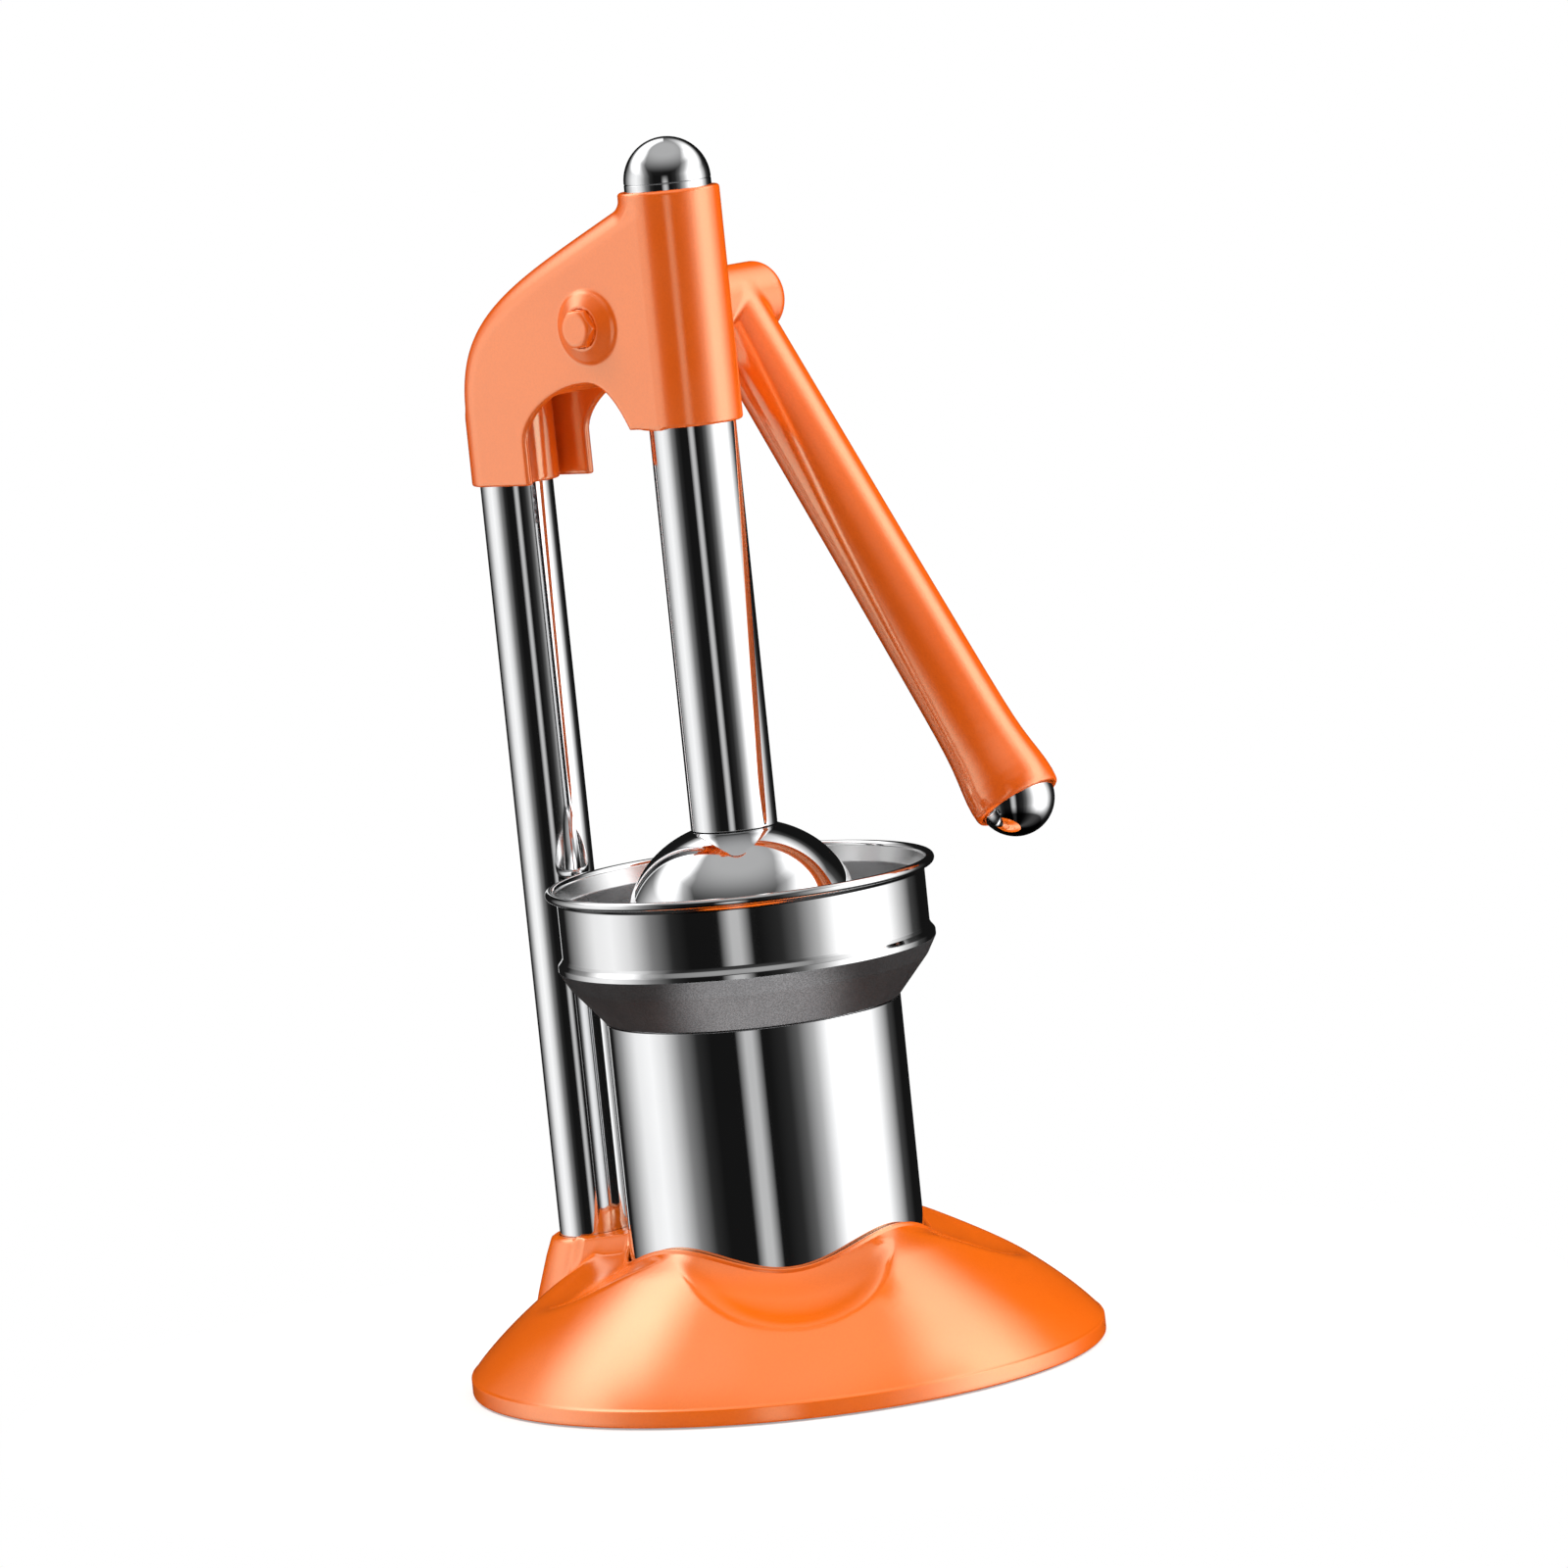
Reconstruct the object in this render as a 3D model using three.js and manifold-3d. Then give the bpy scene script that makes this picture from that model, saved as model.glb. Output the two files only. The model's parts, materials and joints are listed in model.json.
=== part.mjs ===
// Hand-lever citrus press: a wave-rimmed base carries a juice cup, a straining bowl and a
// column; the head on the column guides a round plunger with a pressing dome, which a side
// lever drives through a pinion and a rack. Millimetres, +Z up. The origin is on the plunger's
// axis at the level the feet stand on; the user faces +Y, the column stands behind at +Y and the
// lever is on the +X side.
import * as THREE from "three";
import { mergeVertices } from "three/addons/utils/BufferGeometryUtils.js";
import { ConvexGeometry } from "three/addons/geometries/ConvexGeometry.js";
import Module from "manifold-3d";

const wasm = await Module();
wasm.setup();

// ---------------------------------------------------------------- sizes
// Fits
const GAP = 0.3; // between neighbouring pieces, all round
const CUP_WELL_GAP = 0.6; // cup wall to the well in the base
const SPIGOT_GAP = 0.5; // bowl spigot to the inside of the cup
const OVERCUT = 2; // how far a cutter runs past the face it opens

// Feet, base plate and base shell
const FOOT_RADIUS = 8;
const FOOT_HEIGHT = 5.2;
const FOOT_EDGE = 1; // chamfer round the sole
const FOOT_MARGIN = 6.8; // from a foot's edge to the inside of the shell
const FOOT_ANGLES = [45, 135, 225, 315];
const PLATE_THICKNESS = 2;
const BASE_RADIUS = 95.8;
const BASE_CLEARANCE = 0.5; // from the ground to the shell's lower edge
const RIM_BAND = 4.5; // upright band round the foot of the shell
const SHELL_WALL = 3;
const CROWN_Z = 43.4; // shell height at the cup, on a crest
const SKIRT_BEND_INSET = 12.6; // the skirt's curve bends towards this far inside the edge
const SKIRT_BEND_RISE = 15.8; // and this far above the rim band
const WAVE_DROP = 7.2; // crest to valley of the rim
const WAVE_LOBES = 4;
const RIM_LIP = 1.5; // width of the rim's flat top
const SCOOP_MARGIN = 19.3; // from the end of a valley's hollow to the base's edge
const SCOOP_MIN = 1.5;
const SCOOP_POWER = 1.5;
const WELL_FLOOR_Z = 14;
const WELL_FLOOR_THICKNESS = 2.5;
const WELL_WALL = 2.5;
const BOSS_RADIUS = 4.5;
const PLATE_SCREW_INSET = 16.8; // from a screw's axis to the inside of the shell
const PLATE_SCREW_ANGLES = [25, 155, 205, 335];

// Small pan-head screws under the plate
const SCREW_RADIUS = 1.7;
const SCREW_LENGTH = 9;
const SCREW_HEAD_RADIUS = 3.2;
const SCREW_HEAD_HEIGHT = 1.9;

// Column, its sockets and bolt
const COLUMN_RADIUS = 11.1;
const COLUMN_INSET = 23.2; // from the column's axis to the base's edge
const COLUMN_EDGE = 0.8; // chamfer at both ends
const SOCKET_RINGS = [
  // wall round the column, and depth below the crown, of the block that the column stands in
  [1.9, 5.9],
  [3.1, 7],
  [4.9, 12.1],
  [8.4, 23],
  [11.6, 34.9],
];
const SADDLE_CUP_HALF = 20; // half width of the ridge between block and cup, at the cup
const SADDLE_CUP_DROP = 1.9; // its depth below the crown there
const SADDLE_OVERLAP = 3; // its reach past the well's wall, before the well is cut
const SADDLE_BLOCK_HALF = 13; // the same at the column block
const SADDLE_BLOCK_DROP = 5.9;
const SADDLE_BLOCK_REACH = 6.6; // its end, ahead of the column's axis
const SADDLE_SPREAD = 6;
const SADDLE_HEIGHT = 19.4; // its foot, below the crown
const BOLT_RADIUS = 2.9;
const BOLT_LENGTH = 15; // above the plate
const BOLT_HEAD_RADIUS = 5.6;
const BOLT_HEAD_HEIGHT = 2.6;
const WASHER_RADIUS = 6.4;
const WASHER_THICKNESS = 0.8;

// Cup
const CUP_RADIUS = 44.4;
const CUP_HEIGHT = 93.8;
const CUP_WALL = 1;
const CUP_FLOOR = 1.2;
const CUP_RAISE = 1.5; // centre of the floor above the cup's foot ring
const CUP_FOOT_INSET = 2.2; // from the cup's wall to its foot ring
const CUP_FOOT_WIDTH = 5.2;
const CUP_CORNER = 2.5;

// Bowl, from its seat on the cup's rim upwards
const BOWL_WALL = 1.2;
const BOWL_SPIGOT = 9.5;
const BOWL_CONE = 11.5; // height of the cone
const BOWL_CONE_RADIUS = 54;
const BOWL_BEAD_Z = 17.5;
const BOWL_BEAD_RADIUS = 56.8;
const BOWL_BEAD_HALF = 1.8; // half height of the bead
const BOWL_BEAD_CHAMFER = 0.6;
const BOWL_BAND_RADIUS = 55.3;
const BOWL_BAND_Z = [23.5, 35.5];
const BOWL_RIM_Z = 39.8;
const BOWL_RIM_RADIUS = 57.2;
const BOWL_ROLL = 1.35; // radius of the rolled rim

// Strainer with its ribbed cone
const STRAINER_THICKNESS = 1.2;
const STRAINER_LIP = 1.6; // overlap on the bowl's ledge
const CONE_RADIUS = 27.5;
const CONE_HEIGHT = 40;
const CONE_RIBS = 12;
const CONE_RIB_DEPTH = 1.3;
const SLOT_COUNT = 16;
const SLOT_WIDTH = 1.8;
const SLOT_LENGTH = 8;

// Plunger
const PLUNGER_RADIUS = 13;
const PLUNGER_WALL = 3;
const PLUNGER_LENGTH = 193.6;
const PLUNGER_SHOWS = 2.2; // of the tube, above the head, lever down
const CAP_SPIGOT = 8;
const PLUG_LENGTH = 26;
const PRESS_RADIUS = 35.7;
const PRESS_WALL = 1.5;
const PRESS_SKIRT = 8; // straight wall below the dome's widest circle
const PRESS_CLEAR = 10.5; // dome's lower edge above the strainer, lever down
const PRESS_BOLT_RADIUS = 3.9;
const PRESS_BOLT_LENGTH = 20;
const PRESS_BOLT_HEAD = 6.8;
const PRESS_BOLT_HEAD_HEIGHT = 4;
const PRESS_WASHER_RADIUS = 9.5;
const PRESS_WASHER_THICKNESS = 1.2;

// Drive
const MODULE = 1.5;
const PINION_TEETH = 17;
const PINION_WIDTH = 10;
const PRESSURE_ANGLE = 20;
const BACKLASH = 0.25; // taken off each flank
const RACK_WIDTH = 11;
const RACK_TEETH_BELOW = 13;
const RACK_TEETH_ABOVE = 2;
const RACK_SINK = 0.1; // tooth tips below the plunger's surface
const RACK_BACK = 3.2; // back of the rack bar from the plunger's axis
const RACK_TONGUE = 10;
const RACK_SCREW_RADIUS = 1.4;
const RACK_SCREW_HEAD = 2.7;
const RACK_SCREW_END = 5;
const SHAFT_RADIUS = 7;
const SHAFT_NEAR_RADIUS = 4;
const SHAFT_IN_HUB = 41;
const KEY_WIDTH = 3;
const KEY_HEIGHT = 3;

// Head
const LEG_SIDE_WALL = 3.8; // beside the column
const LEG_REAR = 8.5; // web's rear face, behind the column's axis
const LEG_FRONT = 18.3; // leg's front edge, ahead of the column's axis
const SLEEVE_WALL = 1.85;
const SLEEVE_RAISE = 15.75; // from here on, heights above the leg's lower edge
const SLEEVE_LENGTH = 69.9;
const HEAD_ROUND = 8.5; // rounding of the outer edges
const HEAD_TOP_RISE = 1.5; // the web's slope, carried on to the plunger's axis, above the sleeve
const HEAD_SLOPE = 25; // degrees, top of the web
const HEAD_SLOPE_PULL = 62;
const HEAD_REAR_PULL = 33;
const HEAD_REAR_TOP = 22.1;
const ARCH_FRONT_Y = 11.8;
const ARCH_TOP_Y = 27;
const ARCH_TOP = 30.1;
const ARCH_SPRING = 12.6;
const RECESS_LIP = 2.6; // side plates beside the leg's hollow front
const RECESS_TOP = 27.6;
const RECESS_END = 6; // the hollow's rear end, ahead of the column's axis
const LEG_SOCKET_WALL = 1.8; // round housing of the column in the leg
const LEG_SOCKET_CAP = [
  // its rounded top: inwards from its wall, and height above the leg's lower edge
  [0, 20.5],
  [0.8, 23],
  [2.7, 24.6],
  [5.2, 25.2],
];
const LEG_SOCKET_DEPTH = 21.5;
const SHAFT_RAISE = 46.8;
const HUB_BOSS_BASE = 11.2; // cone round the shaft's near end
const HUB_BOSS_TOP = 7.6;
const HUB_BOSS_HEIGHT = 3.2;
const PINION_SIDE = 1.3; // pinion to the walls of its chamber
const BUSH_WALL = 1.2;
const BEARING_FLANGE_RADIUS = 16;
const BEARING_FLANGE = 3;
const GRUB_RADIUS = 2.3;
const GRUB_LENGTH = 3.6;
const GRUB_HEIGHTS = [6, 16]; // above the leg's lower edge
const GRUB_EDGE = 0.4; // chamfer at both ends
const HEX_SOCKET = 1.2;
const HEX_SOCKET_DEPTH = 1.5;
const SHAFT_CAP_RADIUS = 5.9;
const SHAFT_CAP_HEIGHT = 2.4;
const SHAFT_CAP_SPIGOT = 2.2;
const SHAFT_CAP_CHAMFER = 0.9;

// Lever
const THRUST_RADIUS = 10;
const THRUST_THICKNESS = 1.2;
const HUB_RADIUS = 11.2;
const HUB_LENGTH = 45.6;
const HUB_ROUND = 4;
const LEVER_FROM_END = 17; // arm's axis from the hub's outer end
const LEVER_LEAN = 31.6; // degrees forward of straight down
const LEVER_LENGTH = 180;
const LEVER_HUB_RADIUS = 10.75; // arm's radius at the shaft's axis
const LEVER_RADII = [
  // place along the arm, back from its end, and radius
  [140, 10.9],
  [90, 11.1],
  [40, 11.55],
  [20, 12],
  [10, 12.75],
  [3, 13.4],
  [0, 13.45],
];
const LEVER_EDGE = 0.5; // rounding of the arm's end
const LEVER_CAP_RADIUS = 11.7;
const LEVER_CAP_SEAT = 7; // depth of the cap's seat in the arm's end
const LEVER_CAP_PROUD = 9.7;
const LEVER_STUD_RADIUS = 3;
const LEVER_STUD_LENGTH = 14;
const SET_SCREW_RADIUS = 2.3;
const SET_SCREW_PLACE = 10; // from the hub's inner end

// Facets
const FINE = 64;
const ROUND = 36;
const SMALL = 24;
const TINY = 12;
const RIB_FACETS = 4;

// ---------------------------------------------------------------- levels that follow from them
const PLATE_Z = FOOT_HEIGHT + GAP;
const PLATE_TOP_Z = PLATE_Z + PLATE_THICKNESS;
const INNER_FLOOR_Z = PLATE_TOP_Z + GAP;
const SHELL_INNER = BASE_RADIUS - SHELL_WALL;
const FOOT_CIRCLE = SHELL_INNER - FOOT_MARGIN - FOOT_RADIUS;
const PLATE_SCREW_CIRCLE = SHELL_INNER - PLATE_SCREW_INSET;
const RIM_BAND_TOP_Z = BASE_CLEARANCE + RIM_BAND;
const WELL_RADIUS = CUP_RADIUS + CUP_WELL_GAP;
const CUP_FOOT_OUTER = CUP_RADIUS - CUP_FOOT_INSET;
const CUP_FOOT_INNER = CUP_FOOT_OUTER - CUP_FOOT_WIDTH;
const CUP_Z = WELL_FLOOR_Z + GAP;
const CUP_TOP_Z = CUP_Z + CUP_HEIGHT;
const BOWL_Z = CUP_TOP_Z + GAP;
const SPIGOT_RADIUS = CUP_RADIUS - CUP_WALL - SPIGOT_GAP;
const STRAINER_Z = BOWL_Z + BOWL_WALL + GAP;
const STRAINER_RADIUS = SPIGOT_RADIUS - BOWL_WALL + STRAINER_LIP;
const STRAINER_TOP_Z = STRAINER_Z + STRAINER_THICKNESS;
const PRESS_EDGE_Z = STRAINER_TOP_Z + PRESS_CLEAR;
const PRESS_CENTRE_Z = PRESS_EDGE_Z + PRESS_SKIRT;
const PRESS_TOP_Z = PRESS_CENTRE_Z + Math.sqrt(PRESS_RADIUS ** 2 - PLUNGER_RADIUS ** 2);
const PLUNGER_Z = PRESS_TOP_Z + GAP;
const PLUNGER_TOP_Z = PLUNGER_Z + PLUNGER_LENGTH;
const PLUNGER_BORE = PLUNGER_RADIUS - PLUNGER_WALL;
const SLEEVE_TOP_Z = PLUNGER_TOP_Z - PLUNGER_SHOWS;
const SLEEVE_BOTTOM_Z = SLEEVE_TOP_Z - SLEEVE_LENGTH;
const SLEEVE_BORE = PLUNGER_RADIUS + GAP;
const SLEEVE_RADIUS = SLEEVE_BORE + SLEEVE_WALL;
const COLUMN_Y = BASE_RADIUS - COLUMN_INSET;
const HEAD_HALF_WIDTH = COLUMN_RADIUS + GAP + LEG_SIDE_WALL;
const HEAD_BOTTOM_Z = SLEEVE_BOTTOM_Z - SLEEVE_RAISE;
const HEAD_REAR_TOP_Z = HEAD_BOTTOM_Z + HEAD_REAR_TOP;
const LEG_FRONT_Y = COLUMN_Y - LEG_FRONT;
const LEG_REAR_Y = COLUMN_Y + LEG_REAR;
const ARCH_TOP_Z = HEAD_BOTTOM_Z + ARCH_TOP;
const ARCH_SPRING_Z = HEAD_BOTTOM_Z + ARCH_SPRING;
const RECESS_TOP_Z = HEAD_BOTTOM_Z + RECESS_TOP;
const LEG_SOCKET_RADIUS = COLUMN_RADIUS + GAP + LEG_SOCKET_WALL;
const LEG_SOCKET_REAR_Y = COLUMN_Y + LEG_SOCKET_RADIUS;
const SHAFT_Z = HEAD_BOTTOM_Z + SHAFT_RAISE;
const COLUMN_Z = PLATE_TOP_Z + GAP;
const COLUMN_TOP_Z = HEAD_BOTTOM_Z + LEG_SOCKET_DEPTH;
const PITCH = Math.PI * MODULE;
const PITCH_RADIUS = (MODULE * PINION_TEETH) / 2;
const TIP_RADIUS = PITCH_RADIUS + MODULE;
const ROOT_RADIUS = PITCH_RADIUS - 1.25 * MODULE;
const RACK_TIP = PLUNGER_RADIUS - RACK_SINK;
const SHAFT_Y = RACK_TIP - MODULE + PITCH_RADIUS;
const RACK_ROOT = RACK_TIP - 2.25 * MODULE;
const RACK_LOW_Z = SHAFT_Z - (RACK_TEETH_BELOW + 0.5) * PITCH;
const RACK_HIGH_Z = SHAFT_Z + (RACK_TEETH_ABOVE + 0.5) * PITCH;
const RACK_SCREW_Z = [RACK_LOW_Z - RACK_TONGUE / 2, RACK_HIGH_Z + RACK_TONGUE / 2];
const TONGUE_TOP = Math.sqrt(PLUNGER_BORE ** 2 - (RACK_WIDTH / 2) ** 2) - GAP;
const CHAMBER_RADIUS = TIP_RADIUS + GAP;
const CHAMBER_HALF = PINION_WIDTH / 2 + PINION_SIDE;
const NEAR_BUSH_RADIUS = SHAFT_NEAR_RADIUS + GAP + BUSH_WALL;
const BEARING_FACE_X = HEAD_HALF_WIDTH + GAP + BEARING_FLANGE;
const HUB_X = BEARING_FACE_X + GAP + THRUST_THICKNESS + GAP;
const HUB_END_X = HUB_X + HUB_LENGTH;
const LEVER_X = HUB_END_X - LEVER_FROM_END;
const SHAFT_END_X = HUB_X + SHAFT_IN_HUB;
const SHAFT_NEAR_X = -CHAMBER_HALF + GAP;
const BOSS_FACE_X = -HEAD_HALF_WIDTH - HUB_BOSS_HEIGHT;

// ---------------------------------------------------------------- looks
const looks = {
  orange: { color: 0xf47a2c, roughness: 0.38, metalness: 0 },
  chrome: { color: 0xd9dcdf, roughness: 0.08, metalness: 1 },
  steel: { color: 0xb4b8bc, roughness: 0.3, metalness: 1 },
  brushed: { color: 0xc3c6c9, roughness: 0.35, metalness: 1 },
  nylon: { color: 0xe6e2d6, roughness: 0.5, metalness: 0 },
  rubber: { color: 0x1d1d1f, roughness: 0.9, metalness: 0 },
  plate: { color: 0x2c2d30, roughness: 0.6, metalness: 0.2 },
};
const materials = Object.fromEntries(
  Object.entries(looks).map(([name, look]) => [name, new THREE.MeshStandardMaterial(look)]),
);

// ---------------------------------------------------------------- shape helpers
const rad = THREE.MathUtils.degToRad;
const at = (u, v) => new THREE.Vector2(u, v);

// A closed geometry as a solid: only its positions are kept, and triangles without area go.
function solid(geometry) {
  const bare = geometry.clone();
  bare.deleteAttribute("normal");
  bare.deleteAttribute("uv");
  const merged = mergeVertices(bare, 1e-4);
  const index = merged.index.array;
  const kept = [];
  for (let i = 0; i < index.length; i += 3) {
    const [a, b, c] = [index[i], index[i + 1], index[i + 2]];
    if (a !== b && b !== c && c !== a) kept.push(a, b, c);
  }
  const vertProperties = new Float32Array(merged.attributes.position.array);
  const triVerts = new Uint32Array(kept);
  return new wasm.Manifold(new wasm.Mesh({ numProp: 3, vertProperties, triVerts }));
}

function geometryOf(body) {
  const mesh = body.getMesh();
  const geometry = new THREE.BufferGeometry();
  const positions = new Float32Array(mesh.vertProperties);
  geometry.setAttribute("position", new THREE.BufferAttribute(positions, 3));
  geometry.setIndex(new THREE.BufferAttribute(new Uint32Array(mesh.triVerts), 1));
  geometry.computeVertexNormals();
  return geometry;
}

// Signed area of a closed outline, positive when it runs anticlockwise.
function signedArea(outline) {
  let sum = 0;
  outline.forEach((p, i) => {
    const q = outline[(i + 1) % outline.length];
    sum += p.x * q.y - q.x * p.y;
  });
  return sum / 2;
}

// A body of revolution round Z from [radius, height] pairs.
function turned(pairs, segments = ROUND) {
  let outline = pairs.map(([r, z]) => at(r, z));
  if (signedArea(outline) < 0) outline.reverse();
  const onAxis = outline.filter((p) => p.x === 0).length > 0;
  if (onAxis) {
    // start the profile just after its stretch on the axis
    const n = outline.length;
    const start = outline.findIndex((p, i) => p.x === 0 && outline[(i + n - 1) % n].x === 0);
    outline = outline.slice(start).concat(outline.slice(0, start));
  } else {
    outline.push(outline[0].clone());
  }
  const geometry = new THREE.LatheGeometry(outline, segments);
  geometry.rotateX(Math.PI / 2);
  return solid(geometry);
}

// The same, round X (pairs are [radius, x]) through the point y, z.
function turnedX(pairs, y, z, segments = ROUND) {
  return turned(pairs, segments).rotate([0, 90, 0]).translate([0, y, z]);
}

// The same, round Y (pairs are [radius, y]) through the point x, z.
function turnedY(pairs, x, z, segments = ROUND) {
  return turned(pairs, segments).rotate([-90, 0, 0]).translate([x, 0, z]);
}

const rodPairs = (r, low, high, edge = 0) =>
  edge
    ? [[0, low], [r - edge, low], [r, low + edge], [r, high - edge], [r - edge, high], [0, high]]
    : [[0, low], [r, low], [r, high], [0, high]];

const ringPairs = (inner, outer, low, high) => [
  [inner, low],
  [outer, low],
  [outer, high],
  [inner, high],
];

const rod = (r, low, high, segments = ROUND, edge = 0) =>
  turned(rodPairs(r, low, high, edge), segments);

const box = (x, y, z) => {
  const [x0, x1] = x;
  const [y0, y1] = y;
  const [z0, z1] = z;
  const geometry = new THREE.BoxGeometry(x1 - x0, y1 - y0, z1 - z0);
  geometry.translate((x0 + x1) / 2, (y0 + y1) / 2, (z0 + z1) / 2);
  return solid(geometry);
};

// An outline in the Y-Z plane, extruded along X.
const yzFrame = new THREE.Matrix4().makeBasis(
  new THREE.Vector3(0, 1, 0),
  new THREE.Vector3(0, 0, 1),
  new THREE.Vector3(1, 0, 0),
);

function plateX(shape, x0, x1, options = {}) {
  const bevel = options.bevelSize || 0;
  const settings = {
    depth: x1 - x0 - 2 * bevel,
    curveSegments: options.curveSegments || 12,
    bevelEnabled: bevel > 0,
    bevelThickness: bevel,
    bevelSize: bevel,
    bevelOffset: -bevel,
    bevelSegments: options.bevelSegments || 3,
  };
  const geometry = new THREE.ExtrudeGeometry(shape, settings);
  geometry.translate(0, 0, x0 + bevel);
  geometry.applyMatrix4(yzFrame);
  return solid(geometry);
}

// A hexagonal head, `r` across the corners.
const hexHead = (r, low, high) => rod(r, low, high, 6);

const polar = (radius, angle) => [radius * Math.cos(rad(angle)), radius * Math.sin(rad(angle))];

// ---------------------------------------------------------------- base shell
// The skirt's height at a radius, on its plain curve.
const skirtCurve = new THREE.QuadraticBezierCurve(
  at(BASE_RADIUS, RIM_BAND_TOP_Z),
  at(BASE_RADIUS - SKIRT_BEND_INSET, RIM_BAND_TOP_Z + SKIRT_BEND_RISE),
  at(WELL_RADIUS + RIM_LIP, CROWN_Z),
);

function skirtZ(radius) {
  const { v0, v1, v2 } = skirtCurve;
  const a = v0.x - 2 * v1.x + v2.x;
  const b = 2 * (v1.x - v0.x);
  const c = v0.x - radius;
  const root = Math.sqrt(Math.max(0, b * b - 4 * a * c));
  const t = Math.abs(a) < 1e-9 ? -c / b : (-b - root) / (2 * a);
  return skirtCurve.getPoint(Math.min(1, Math.max(0, t))).y;
}

const waveDrop = (phi) => (WAVE_DROP * (1 - Math.cos(WAVE_LOBES * phi))) / 2;
const scoopStart = WELL_RADIUS + RIM_LIP + SCOOP_MIN;
const scoopReach = BASE_RADIUS - SCOOP_MARGIN - scoopStart;
const scoopEdge = (phi) =>
  scoopStart + scoopReach * Math.abs(Math.sin((WAVE_LOBES / 2) * phi)) ** SCOOP_POWER;

// A point of the upper surface, `u` from 0 at the scoop's edge to 1 at the rim.
function scoopPoint(phi, u, sink) {
  const edge = scoopEdge(phi);
  const radius = edge + (WELL_RADIUS + RIM_LIP - edge) * u;
  const drop = waveDrop(phi) * (1 - (1 - u) ** 2);
  return [radius, skirtZ(radius) - drop - sink];
}

// A point between the scoop's edge (`u` = 1) and the rim band (`u` = 0).
function skirtPoint(phi, u, sink, inset) {
  const outer = BASE_RADIUS - inset;
  const radius = outer + (scoopEdge(phi) - outer) * u;
  return [radius, skirtZ(radius) - sink];
}

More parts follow.
